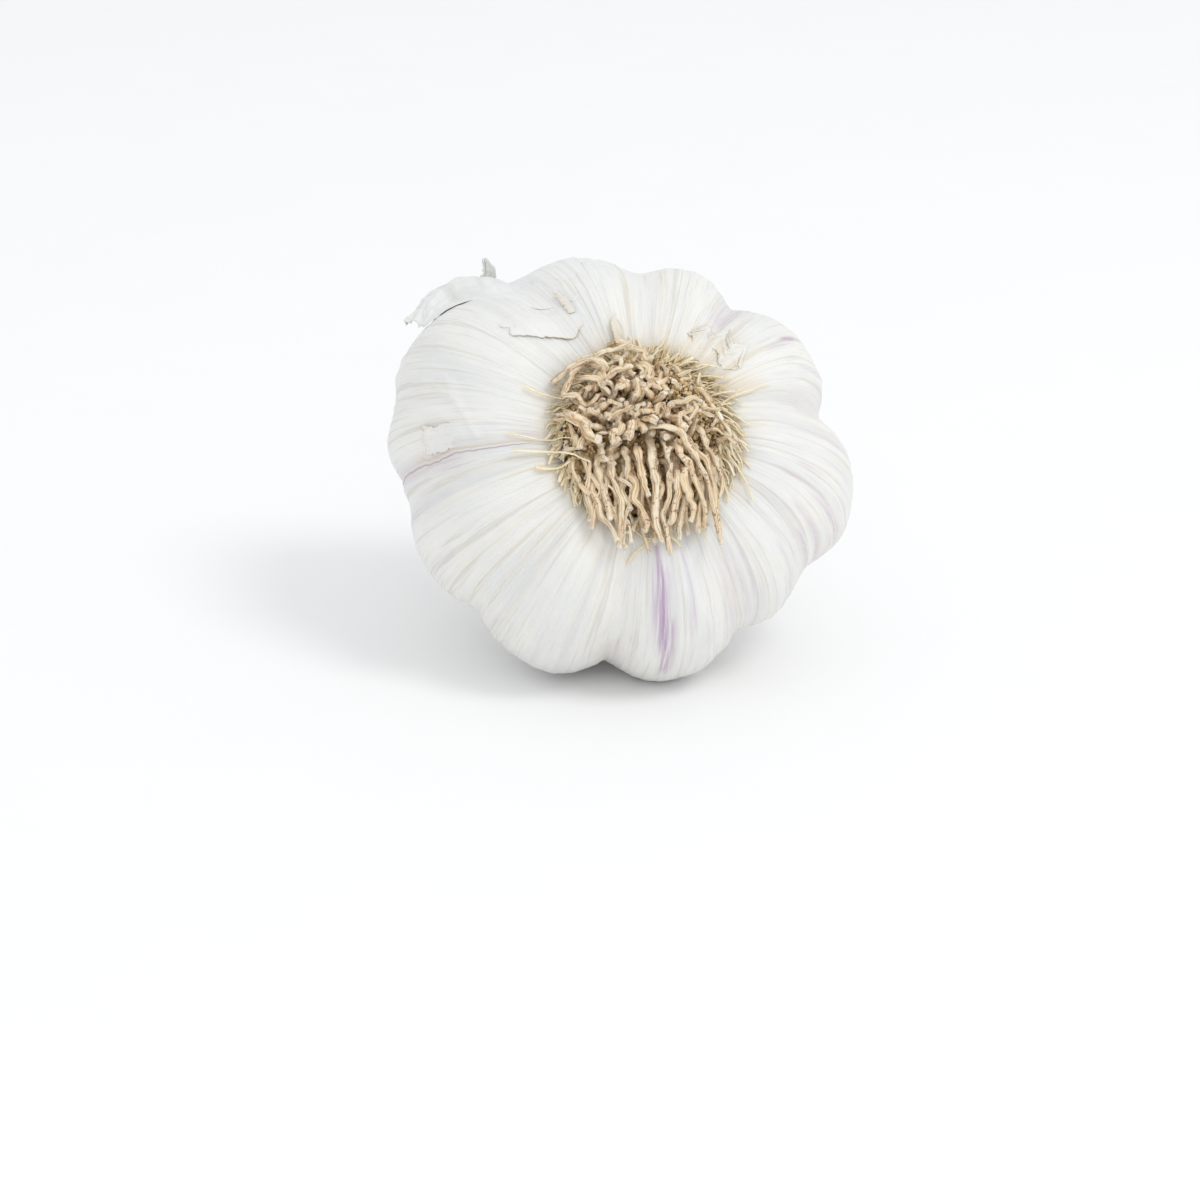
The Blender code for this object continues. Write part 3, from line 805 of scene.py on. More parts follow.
def makeStrandTree():
    inputs = [("Spacing", "Float", 0.3 * mm), ("Sides", "Int", 10), ("Flatness", "Float", 0.0),
              ("Wobble", "Float", 0.0), ("Groove", "Float", 0.0), ("Seed", "Int", 0),
              ("Material", "Material", None)]
    tree, sheet, ports = geometryTree("dryStrands", inputs)
    curve = sheet.add("GeometryNodeResampleCurve", {"mode": "LENGTH"},
                      {"Curve": ports["Geometry"], "Length": ports["Spacing"]})
    tone = sheet.add("FunctionNodeRandomValue", {"data_type": "FLOAT"},
                     {"Seed": ports["Seed"], "ID": sheet.add("GeometryNodeInputIndex")}, output=1)
    curve = sheet.add("GeometryNodeStoreNamedAttribute", {"data_type": "FLOAT", "domain": "CURVE"},
                      {"Geometry": curve, "Name": "tone", "Value": tone})
    along = sheet.add("GeometryNodeSplineParameter", output="Length")
    share = sheet.add("GeometryNodeSplineParameter", output="Factor")
    curve = sheet.add("GeometryNodeStoreNamedAttribute", {"data_type": "FLOAT", "domain": "POINT"},
                      {"Geometry": curve, "Name": "along", "Value": along})
    curve = sheet.add("GeometryNodeStoreNamedAttribute", {"data_type": "FLOAT", "domain": "POINT"},
                      {"Geometry": curve, "Name": "share", "Value": share})
    place = sheet.add("GeometryNodeInputPosition")
    drift = sheet.add("ShaderNodeTexNoise", {}, {"Vector": place, "Scale": 420.0, "Detail": 2.0}, output=1)
    drift = sheet.add("ShaderNodeVectorMath", {"operation": "SUBTRACT"}, [drift, (0.5, 0.5, 0.5)])
    values = {"Vector": drift, "Scale": ports["Wobble"]}
    drift = sheet.add("ShaderNodeVectorMath", {"operation": "SCALE"}, values)
    curve = sheet.add("GeometryNodeSetPosition", {}, {"Geometry": curve, "Offset": drift})
    circle = sheet.add("GeometryNodeCurvePrimitiveCircle", {"mode": "RADIUS"},
                       {"Resolution": ports["Sides"], "Radius": 1.0})
    circle = sheet.add("GeometryNodeStoreNamedAttribute", {"data_type": "FLOAT_VECTOR", "domain": "POINT"},
                       {"Geometry": circle, "Name": "ring", "Value": sheet.add("GeometryNodeInputPosition")})
    squash = sheet.add("ShaderNodeCombineXYZ", {}, {"X": 1.0, "Y": 1.0 - ports["Flatness"], "Z": 1.0})
    circle = sheet.add("GeometryNodeTransform", {}, {"Geometry": circle, "Scale": squash})
    girth = sheet.add("GeometryNodeInputRadius")
    values = {"Curve": curve, "Profile Curve": circle, "Scale": girth, "Fill Caps": True}
    strands = sheet.add("GeometryNodeCurveToMesh", {}, values)
    ring = sheet.add("GeometryNodeInputNamedAttribute", {"data_type": "FLOAT_VECTOR"}, ["ring"])
    length = sheet.add("GeometryNodeInputNamedAttribute", {"data_type": "FLOAT"}, ["along"])
    own = sheet.add("GeometryNodeInputNamedAttribute", {"data_type": "FLOAT"}, ["tone"])
    down = sheet.add("ShaderNodeCombineXYZ", {}, {"X": own * 90.0, "Y": 0.0, "Z": length * 300.0})
    grain = sheet.add("ShaderNodeVectorMath", {"operation": "ADD"}, [sheet.stretch(ring, 1.5, 1.5, 0.0), down])
    knots = sheet.add("ShaderNodeCombineXYZ", {}, {"X": own * 90.0, "Y": 0.0, "Z": length * 900.0})
    height = (sheet.noise(grain, 1.0, 2.0, 0.6) - 0.5) + (sheet.noise(knots, 1.0, 1.0) - 0.5) * 0.55
    push = sheet.add("ShaderNodeVectorMath", {"operation": "SCALE"},
                     {"Vector": sheet.add("GeometryNodeInputNormal"), "Scale": height * ports["Groove"]})
    strands = sheet.add("GeometryNodeSetPosition", {}, {"Geometry": strands, "Offset": push})
    strands = sheet.add("GeometryNodeSetShadeSmooth", {}, {"Geometry": strands})
    endTree(sheet, strands, ports["Material"])
    return tree


dryStrands = makeStrandTree()


strandShape = {"Spacing": 0.17 * mm, "Sides": 12, "Wobble": 0.3 * mm, "Groove": 0.62 * mm}


def strandObject(name, strands, settings, material):
    # strands: lists of points (u, v, w) in millimetres with a radius each
    data = bpy.data.curves.new(name, "CURVE")
    data.dimensions = "3D"
    for points, radii in strands:
        spline = data.splines.new("POLY")
        spline.points.add(len(points) - 1)
        room = toRoom(points)
        spline.points.foreach_set("co", np.column_stack([room, np.ones(len(room))]).ravel())
        spline.points.foreach_set("radius", np.asarray(radii, float) * mm)
    values = dict(strandShape, **settings)
    return bakeTree(linked(name, data), dryStrands, dict(values, Material=material))


def curl(start, heading, length, bend, heights, count=14):
    # a path over the plate: start (u, v), heading in degrees, how far it turns on its way,
    # and its heights above the plate
    u, v = start
    points = []
    for i in range(count):
        share = i / (count - 1)
        points.append((u, v, plateTop + np.interp(share, np.linspace(0, 1, len(heights)), heights)))
        way = radians(heading + bend * share)
        u += cos(way) * length / (count - 1)
        v += sin(way) * length / (count - 1)
    return np.array(points)


def smoothed(points, passes=2):
    points = np.array(points, float)
    for _ in range(passes):
        points[1:-1] = points[1:-1] * 0.5 + (points[:-2] + points[2:]) * 0.25
    return points


def taper(count, foot, tip):
    return foot + (tip - foot) * np.linspace(0, 1, count)


def makeRootMaterial(name, look):
    fixed = {"Specular IOR Level": 0.25, "Subsurface Weight": look["glow"],
             "Subsurface Radius": (1.0, 0.7, 0.4), "Subsurface Scale": 1.5 * mm}
    material, sheet, shader = newMaterial(name, fixed)
    tone = sheet.attribute("tone")
    along = sheet.attribute("along")
    share = sheet.attribute("share")
    ring = sheet.attribute("ring", vector=True)
    down = sheet.add("ShaderNodeCombineXYZ", {}, {"X": tone * 70.0, "Y": tone * 30.0, "Z": along * 260.0})
    grain = sheet.add("ShaderNodeVectorMath", {"operation": "ADD"}, [sheet.stretch(ring, 2.4, 2.4, 0.0), down])
    lines = sheet.noise(grain, 1.0, 4.0, 0.65)
    across = sheet.add("ShaderNodeCombineXYZ", {}, {"X": tone * 50.0, "Y": 0.0, "Z": along * 3200.0})
    around = sheet.stretch(ring, 0.8, 0.8, 0.0)
    across = sheet.add("ShaderNodeVectorMath", {"operation": "ADD"}, [across, around])
    cracks = sheet.step(sheet.noise(across, 1.0, 1.0, 0.5), 0.60, 0.70)
    place = sheet.objectPlace()
    cracked = cracks * sheet.step(sheet.noise(place, 330.0, 1.0), 0.44, 0.58)
    dusty = sheet.noise(place, 900.0, 3.0, 0.6)
    colour = sheet.mix(tone, look["warm"], look["cool"])
    # painted shade and painted highlight: the grain lines also set the bump, so the colour is darker in their
    # grooves and lighter on their ridges, over the roots' real streaky grain
    colour = sheet.mix(sheet.step(lines, 0.38, 0.52), look["grooveShade"], colour)
    colour = sheet.mix(sheet.step(lines, 0.55, 0.75) * 0.55, colour, look["light"])
    colour = sheet.mix(cracked * look["cracks"], colour, look["crack"])
    # painted shade with dirt: each strand is darkened in patches near its foot by the plate, where shade falls
    # between the strands, mixed with soil
    shadedDirtyFoot = sheet.step(share, 0.0, 0.35, look["footShadeAndDirt"], 0.0) * sheet.step(dusty, 0.35, 0.6)
    colour = sheet.mix(shadedDirtyFoot, colour, look["footShadeAndSoil"])
    colour = sheet.mix(sheet.step(share, 0.93, 1.0) * look["tip"], colour, look["tipColour"])
    sheet.fill(shader, {
        "Base Color": colour,
        "Roughness": sheet.step(lines, 0.3, 0.7, 0.9, 0.65),
        "Normal": sheet.bump(lines - cracked * 0.5 + dusty * 0.35, look["bump"], 1.0),
    })
    return material


# grooveShade is painted shade in the grain's grooves and light is a painted highlight on its ridges
rootLook = {
    "warm": (0.93, 0.75, 0.51), "cool": (0.94, 0.82, 0.62), "grooveShade": (0.60, 0.39, 0.21),
    "light": (0.99, 0.94, 0.80), "cracks": 0.75, "crack": (0.42, 0.18, 0.09),
    # the darker strand feet are painted shade mixed with soil
    "tip": 0.5, "tipColour": (0.96, 0.93, 0.85), "footShadeAndDirt": 0.6, "footShadeAndSoil": (0.32, 0.21, 0.11),
    "glow": 0.0, "bump": 0.20 * mm,
}
rootMaterial = makeRootMaterial("dryRoot", rootLook)
# the fibres' grooveShade and light are painted shade and a painted highlight too
fibreLook = dict(rootLook, warm=(0.97, 0.82, 0.52), cool=(0.97, 0.91, 0.74), grooveShade=(0.88, 0.66, 0.34),
                 light=(0.99, 0.94, 0.82), cracks=0.1, tip=0.3, tipColour=(0.95, 0.88, 0.70),
                 footShadeAndSoil=(0.72, 0.50, 0.22), footShadeAndDirt=0.15, glow=0.2, bump=0.03 * mm)
fibreMaterial = makeRootMaterial("strawFibre", fibreLook)


def rootsNamed(*starts):
    return [name for name in nodeNames if name.startswith(starts)]


# the longest roots, each by a few places across and up the plate, from its foot to its end,
# then its height over the plate there and its radius
longRoots = [
    ([(-6.8, -2.6), (-6.6, -6.7), (-5.8, -10.3), (-4.7, -13.9)], (0.6, 1.7), 0.52),
    ([(-5.6, -1.8), (-6.0, -3.5), (-5.9, -7.1), (-5.2, -11.3)], (0.8, 2.3), 0.50),
    ([(-4.0, -1.9), (-4.3, -5.0), (-4.4, -9.1), (-4.3, -14.5)], (1.4, 2.0), 0.56),
    ([(-4.3, -5.0), (-3.1, -6.4), (-2.5, -9.3), (-3.7, -14.2)], (2.4, 1.4), 0.34),
    ([(-2.6, -1.6), (-2.4, -3.7), (-2.9, -6.2), (-2.7, -9.8)], (1.6, 1.6), 0.50),
    ([(-2.0, -3.7), (-2.0, -7.1), (-1.5, -9.8), (-0.6, -12.3)], (2.2, 1.5), 0.58),
    ([(-1.2, -1.4), (-1.1, -3.5), (-0.7, -5.9), (-0.5, -8.6)], (2.6, 2.7), 0.58),
    ([(0.5, 0.2), (0.2, -3.5), (0.8, -9.6), (0.8, -14.5)], (2.9, 1.8), 0.60),
    ([(1.2, -2.8), (2.4, -3.0), (2.9, -4.7), (2.7, -6.7)], (3.4, 2.6), 0.40),
    ([(2.2, -3.0), (2.1, -6.7), (1.6, -10.6), (1.7, -15.1)], (2.4, 1.4), 0.48),
    ([(3.6, -3.2), (3.2, -7.1), (2.7, -9.8), (2.0, -12.0)], (2.7, 2.1), 0.52),
    ([(3.9, -4.0), (4.3, -6.7), (5.0, -9.1), (5.1, -11.5)], (2.9, 2.2), 0.58),
    ([(2.3, -0.8), (4.1, -3.2), (5.7, -6.7), (6.5, -12.8)], (3.4, 1.6), 0.56),
    ([(-1.3, 2.2), (1.2, 0.2), (4.2, -0.8), (5.9, -3.7), (7.1, -7.9), (7.9, -14.2)], (3.8, 1.5), 0.66),
    ([(4.6, 0.8), (6.2, -2.2), (7.9, -6.7), (8.3, -14.7)], (2.6, 1.2), 0.44),
    ([(6.0, 1.0), (7.4, -1.4), (8.6, -4.5), (9.3, -8.9)], (1.4, 1.0), 0.48),
    ([(0.9, -1.2), (1.3, -4.2), (1.0, -7.9), (0.2, -11.1)], (2.0, 1.6), 0.52),
    ([(5.2, -1.0), (6.4, -4.2), (6.3, -8.4), (5.6, -13.2)], (1.4, 1.4), 0.50),
    ([(-3.2, -3.0), (-3.5, -6.7), (-3.2, -10.3), (-2.4, -13.5)], (1.2, 1.3), 0.48),
    ([(3.0, -2.4), (3.8, -6.7), (3.9, -10.3), (3.3, -14.2)], (1.6, 1.2), 0.46),
    ([(-5.0, -3.7), (-5.2, -7.1), (-4.4, -10.6), (-3.0, -12.5)], (1.0, 1.2), 0.44),
]
# the roots that cross or circle the upper half and the middle, given the same way
overRoots = [
    ([(-8.9, 2.9), (-8.0, 1.6), (-7.0, 0.2), (-6.0, -1.9)], (2.2, 2.6), 0.98),
    ([(-10.4, 7.2), (-9.0, 8.6), (-6.2, 9.4), (-4.2, 10.6), (-1.4, 10.6)], (1.4, 2.6), 0.60),
    ([(-7.6, 9.8), (-7.4, 8.4), (-9.2, 7.2), (-9.2, 5.4), (-8.0, 4.2), (-6.2, 3.2)], (1.6, 2.0), 0.46),
    ([(-2.9, 11.6), (-1.0, 10.8), (0.2, 9.8), (1.2, 8.8)], (1.8, 2.8), 0.62),
    ([(-8.2, 7.6), (-6.4, 7.4), (-5.0, 6.6), (-4.4, 5.2)], (2.2, 2.6), 0.54),
    ([(-5.5, 6.9), (-3.8, 7.2), (-2.4, 7.9), (-1.0, 8.2)], (2.6, 3.0), 0.58),
    ([(-6.6, 9.2), (-4.6, 8.8), (-3.0, 9.2), (-1.4, 9.8)], (1.4, 2.0), 0.48),
    ([(-0.2, 8.8), (0.7, 7.6), (1.2, 6.4), (1.5, 5.0)], (2.4, 2.8), 0.58),
    ([(0.6, 9.0), (0.4, 7.6), (-0.4, 6.4)], (2.2, 3.0), 0.52),
    ([(-2.2, 6.8), (-2.8, 5.6), (-3.4, 4.6)], (3.0, 3.2), 0.56),
    ([(-0.9, 6.6), (-0.8, 5.2), (-1.2, 4.0)], (3.0, 3.5), 0.60),
    ([(-6.0, 2.6), (-5.0, 3.6), (-3.8, 3.8), (-2.8, 3.4)], (2.6, 3.4), 0.44),
    ([(-4.6, 3.0), (-3.6, 2.2), (-2.2, 2.6), (-1.2, 3.4)], (3.0, 3.6), 0.42),
    ([(-1.6, 3.0), (-0.2, 2.2), (1.2, 2.4), (2.6, 3.0)], (3.6, 3.4), 0.46),
    ([(0.6, 1.6), (2.2, 2.4), (3.4, 3.4), (5.2, 3.8), (7.2, 3.2)], (3.2, 2.4), 0.44),
    ([(4.2, 2.2), (5.4, 1.2), (6.0, 2.4), (6.6, 3.4)], (2.6, 2.6), 0.42),
    ([(3.4, -0.2), (4.0, 1.2), (5.0, 2.4), (6.8, 2.6)], (3.4, 2.0), 0.46),
    ([(-3.6, 1.4), (-3.0, 0.4), (-3.8, -0.6), (-4.2, -1.6)], (3.2, 2.6), 0.56),
    ([(-1.8, 1.0), (-2.2, 0.0), (-2.6, -1.2)], (3.4, 2.8), 0.60),
    ([(1.4, 5.0), (2.0, 6.4), (3.2, 7.0)], (2.0, 2.4), 0.44),
]
# stray hairs lying over the skin: places across and up, heights, radius
strayHairs = [
    ([(-16.2, -0.8), (-12.0, -1.6), (-9.0, -2.4), (-7.2, -3.4)], (0.6, 1.9), 0.26),
    ([(-16.0, 1.2), (-13.0, 0.2), (-10.0, 0.0), (-8.4, -0.6)], (0.4, 1.2), 0.16),
    ([(-13.6, 6.6), (-12.4, 5.6), (-11.2, 5.8), (-9.6, 5.0)], (0.9, 1.2), 0.22),
    ([(8.6, 3.6), (10.2, 1.2), (11.4, -1.8), (12.0, -4.2)], (1.2, 0.9), 0.34),
    ([(10.6, -2.2), (11.9, -5.0), (13.6, -8.6)], (0.7, 0.2), 0.30),
    ([(10.6, 4.2), (13.4, 5.2), (16.6, 6.4)], (0.9, 1.1), 0.22),
    ([(10.4, 3.6), (12.0, 4.8), (13.4, 6.0)], (0.8, 1.1), 0.16),
    ([(-2.4, -9.6), (-1.9, -12.6), (0.0, -13.5), (1.3, -11.6), (1.6, -9.6)], (1.0, 1.0), 0.20),
    ([(-3.2, -16.4), (-1.4, -14.6), (1.2, -12.2), (3.8, -10.2)], (0.2, 1.4), 0.24),
    ([(5.6, -10.6), (6.6, -12.4), (6.9, -13.6)], (1.0, 0.7), 0.24),
    ([(2.3, -11.0), (2.7, -12.8), (3.4, -14.4)], (0.8, 0.6), 0.46),
    ([(-5.6, -5.2), (-4.6, -7.0), (-3.4, -9.6), (-3.6, -11.4)], (1.4, 0.9), 0.20),
    ([(-13.6, -3.4), (-11.6, -3.8), (-9.4, -3.4)], (0.7, 0.8), 0.30),
]


def strandPath(places, heights, rng, wiggle, count):
    # a smooth path through the places, with the heights spread along it
    places = np.array(places, float)
    knots = np.linspace(0, 1, len(places))
    steps = np.linspace(0, 1, count)
    flat = np.stack([np.interp(steps, knots, places[:, i]) for i in (0, 1)], -1)
    bends = rng.normal(0, wiggle, (len(places) + 3, 2))
    flat += np.stack([np.interp(steps, np.linspace(0, 1, len(bends)), bends[:, i]) for i in (0, 1)], -1)
    flat += rng.normal(0, 0.05, (count, 2))
    height = np.interp(steps, [0, 0.25, 1], [0.0, heights[0], heights[1]])
    height += smoothed(rng.normal(0, 0.2, count), 1)
    return smoothed(np.column_stack([flat, plateTop + height]), 1)


def lumpy(count, radius, tip, rng):
    # the radius along a root: swells and shrinks, and narrows to its tip
    swells = 1 + 0.9 * smoothed(rng.normal(0, 0.20, count), 1)
    return taper(count, radius * 0.88, radius * tip * 0.84) * swells


# the layer of thinner roots behind the long ones: first foot and end, how far the row goes on, radius
underRoots = {"count": 20, "foot": (-7.8, -2.2), "feet": 16.4, "end": (-6.9, -11.4), "ends": 15.6,
              "radius": (0.34, 0.54)}


def makeHangingRoots():
    rng = np.random.default_rng(4)
    strands = []
    for places, heights, radius in longRoots:
        count = 8 * len(places)
        strands.append((strandPath(places, heights, rng, 0.32, count), lumpy(count, radius, 0.68, rng)))
    (footX, footY), (endX, endY) = underRoots["foot"], underRoots["end"]
    for i in range(underRoots["count"]):
        share = (i + rng.uniform(0, 1)) / underRoots["count"]
        foot = (footX + underRoots["feet"] * share, footY + rng.uniform(-2, 1.5))
        end = (endX + underRoots["ends"] * share + rng.uniform(-0.8, 0.8),
               endY + rng.uniform(-2.2, 1.8) - 1.6 * sin(pi * share))
        middle = ((foot[0] + end[0]) / 2 + rng.uniform(-0.9, 0.9), (foot[1] + end[1]) / 2)
        radius = rng.uniform(*underRoots["radius"])
        path = strandPath([foot, middle, end], (0.9, 0.7), rng, 0.4, 22)
        strands.append((path, lumpy(22, radius, 0.6, rng)))
    obj = strandObject("roots_hanging", strands, {"Seed": 3, "Flatness": 0.22}, rootMaterial)
    return show(obj, "dry_roots", *rootsNamed("root_hanging", "root_over"))


# the short ones round the rim of the plate, some standing out, some lying round it
rimRoots = {"count": 46, "first": -24, "sweep": 232, "reach": (6.8, 9.8), "turn": (20, 120), "bend": 120,
            "length": (1.8, 4.2), "radius": (0.26, 0.46)}


def makeUpperRoots():
    rng = np.random.default_rng(9)
    strands = []
    for places, heights, radius in overRoots:
        count = 7 * len(places)
        strands.append((strandPath(places, heights, rng, 0.34, count), lumpy(count, radius, 0.72, rng)))
    for i in range(rimRoots["count"]):
        angle = rimRoots["first"] + rimRoots["sweep"] * (i + rng.uniform(0.1, 0.9)) / rimRoots["count"]
        reach = rng.uniform(*rimRoots["reach"])
        start = (reach * cos(radians(angle)), reach * sin(radians(angle)))
        heading = angle + rng.choice((-1, 1)) * rng.uniform(*rimRoots["turn"])
        bend = rng.uniform(-rimRoots["bend"], rimRoots["bend"])
        length = rng.uniform(*rimRoots["length"])
        points = smoothed(curl(start, heading, length, bend, (-0.4, 0.9, 1.3, rng.uniform(0.2, 1.6))))
        strands.append((points, lumpy(14, rng.uniform(*rimRoots["radius"]), 0.7, rng)))
    obj = strandObject("roots_upper", strands, {"Seed": 5, "Flatness": 0.18}, rootMaterial)
    return show(obj, "dry_roots", *rootsNamed("root_side"))


# cut stubs in the middle, crooked and pointing out from the plate with a pale cut end
stubs = {"count": 135, "sector": (-40, 220), "reach": 7.6, "middle": (-0.4, 1.2), "lean": (0.5, 2.6),
         "tall": (1.5, 4.2), "radius": (0.24, 0.50)}


def makeStubs():
    rng = np.random.default_rng(21)
    strands = []
    steps = np.linspace(0, 1, 9)
    for i in range(stubs["count"]):
        angle = radians(rng.uniform(*stubs["sector"]))
        reach = stubs["reach"] * rng.uniform(0, 1) ** 0.6
        start = np.array([reach * cos(angle), reach * sin(angle)]) + stubs["middle"]
        lean = rng.uniform(*stubs["lean"])
        way = radians(rng.uniform(0, 360))
        tall = rng.uniform(*stubs["tall"]) * (1 - 0.45 * smoothStep(2.0, 7.0, start[0]))
        crooked = smoothed(rng.normal(0, 0.25, (9, 2)), 2)
        flat = start + np.outer(steps**1.4 * lean, (cos(way), sin(way))) + crooked
        points = np.column_stack([flat, plateTop - 0.3 + tall * np.sin(steps * 1.6)])
        strands.append((points, lumpy(9, rng.uniform(*stubs["radius"]), rng.uniform(0.8, 1.15), rng)))
    obj = strandObject("root_stubs", strands, {"Seed": 8, "Wobble": 0.4 * mm}, rootMaterial)
    return show(obj, "dry_roots", *rootsNamed("root_stub", "root_middle"))


def makeHairs():
    rng = np.random.default_rng(33)
    strands = []
    for places, heights, radius in strayHairs:
        path = strandPath(places, heights, rng, 0.12, 24)
        # beyond the plate they lie on the skin
        angle = np.arctan2(path[:, 1], path[:, 0])
        outwards = np.hypot(path[:, 0], path[:, 1])
        s = np.clip(outwards - 10.4, 0, 12) * 1.12
        skin = overSkin(angle, s, 0.25 + 0.5 * np.linspace(*heights, 24))
        share = smoothStep(10.4, 12.0, outwards)[:, None]
        path = path * (1 - share) + skin * share
        strands.append((smoothed(path), taper(24, radius, radius * 0.5)))
    settings = {"Seed": 14, "Sides": 7, "Flatness": 0.4, "Groove": 0.1 * mm}
    obj = strandObject("stray_hairs", strands, settings, fibreMaterial)
    return show(obj, "dry_roots", *rootsNamed("root_side"))


# the frayed ends of the old leaf bases, a ragged collar of flat straw fibres round the plate:
# it is thickest at one angle, and its fibres hang towards the table by the droop
fringe = {"tries": 900, "thickest": 30, "start": (9.0, 10.8), "length": (0.9, 2.1), "longer": 2.2,
          "swing": 24, "droop": 0.8, "thinnest": 0.10, "thicker": 0.34}
fringeShape = {"Seed": 27, "Sides": 6, "Flatness": 0.72, "Spacing": 0.32 * mm, "Wobble": 0.4 * mm,
               "Groove": 0.14 * mm}


def makeFringe():
    rng = np.random.default_rng(15)
    strands = []
    steps = np.linspace(0, 1, 7)
    for i in range(fringe["tries"]):
        angle = rng.uniform(0, 360)
        thick = 0.62 + 0.38 * cos(radians(angle - fringe["thickest"]))
        if rng.uniform(0, 1) > 0.40 + 0.60 * thick:
            continue
        turned = radians(angle)
        start = rng.uniform(*fringe["start"])
        length = rng.uniform(*fringe["length"]) + fringe["longer"] * thick**2 * rng.uniform(0, 1) ** 2
        swing = radians(rng.uniform(-fringe["swing"], fringe["swing"])) - fringe["droop"] * cos(turned)
        reach = start + length * steps
        way = turned + swing * steps * length / 8 + smoothed(rng.normal(0, 0.02, 7), 1)
        lift = rng.uniform(0.0, 0.8) * np.sin(steps * pi * 0.8) + rng.uniform(0, 0.3) * steps
        s = np.clip(reach - bulb["rim"][0], 0, 9)
        onSkin = overSkin(way, s, 0.10 + lift)
        height = plateTop - 1.2 + lift * 1.4
        onPlate = np.stack([reach * np.cos(way), reach * np.sin(way), height], -1)
        share = smoothStep(9.4, 11.2, reach)[:, None]
        points = onPlate * (1 - share) + onSkin * share
        radius = fringe["thinnest"] + fringe["thicker"] * rng.uniform(0, 1) ** 2.2
        strands.append((points, taper(7, radius, radius * rng.uniform(0.2, 0.9))))
    obj = strandObject("leaf_fringe", strands, fringeShape, fibreMaterial)
    return show(obj, "leaf_bases", "leaf_base_ring")


makeHangingRoots()
makeUpperRoots()
makeStubs()
makeHairs()
makeFringe()


# basal plate

plate = {"radius": 9.6, "dome": 0.6, "edge": 1.2, "side": 12, "columns": 150, "rows": 46}


def makePlate():
    # a corky disc, lumpy with soil: its face takes the first 0.8 of the rows and its side the rest
    columns, rows = plate["columns"], plate["rows"]
    angle, share = np.meshgrid(np.linspace(0, tau, columns, endpoint=False), np.linspace(0.02, 1, rows))
    r = plate["radius"] * np.minimum(1, share * 1.25)
    face = plateTop - plate["dome"] * (share * 1.25) ** 3
    w = np.where(share < 0.8, face, plateTop - plate["edge"] - (share - 0.8) * plate["side"])
    points = np.stack([r * np.cos(angle), r * np.sin(angle), w], -1).reshape(-1, 3)
    lumps = noiseAt(points, 0.45, 2.0) * 0.55 + noiseAt(points, 1.3, 6.0) * 0.3
    lumps += noiseAt(points, 3.0, 8.0) * 0.14
    points[:, 2] += lumps * (share < 0.8).ravel()
    points[:, :2] *= (1 + 0.03 * noiseAt(points, 0.8, 4.0))[:, None]
    top, bottom = len(points), len(points) + 1
    poles = [[0, 0, points[:columns, 2].mean()], [0, 0, points[-columns:, 2].mean()]]
    faces = gridFaces(rows, columns, True) + [(top, (j + 1) % columns, j) for j in range(columns)]
    base = (rows - 1) * columns
    faces += [(bottom, base + j, base + (j + 1) % columns) for j in range(columns)]
    obj = meshObject("cork_plate", toRoom(np.concatenate([points, poles])), [f[::-1] for f in faces])
    obj.data.materials.append(makeCorkMaterial())
    return show(obj, "basal_plate", "basal_plate")


def makeCorkMaterial():
    material, sheet, shader = newMaterial("corkPlate", {"Specular IOR Level": 0.15})
    place = sheet.objectPlace()
    clumps = sheet.noise(place, 700.0, 4.0, 0.65)
    grit = sheet.noise(place, 3200.0, 2.0, 0.6)
    colour = sheet.add("ShaderNodeValToRGB", {"stops": [
        (0.30, (0.06, 0.042, 0.025)), (0.45, (0.20, 0.13, 0.065)), (0.56, (0.46, 0.31, 0.15)),
        (0.72, (0.66, 0.52, 0.32))]}, [clumps])
    colour = sheet.mix(sheet.step(grit, 0.55, 0.7) * 0.5, colour, (0.55, 0.46, 0.33))
    sheet.fill(shader, {
        "Base Color": colour,
        "Roughness": sheet.step(grit, 0.3, 0.7, 0.95, 0.75),
        "Normal": sheet.bump(clumps + grit * 0.4, 0.4 * mm, 0.9),
    })
    return material


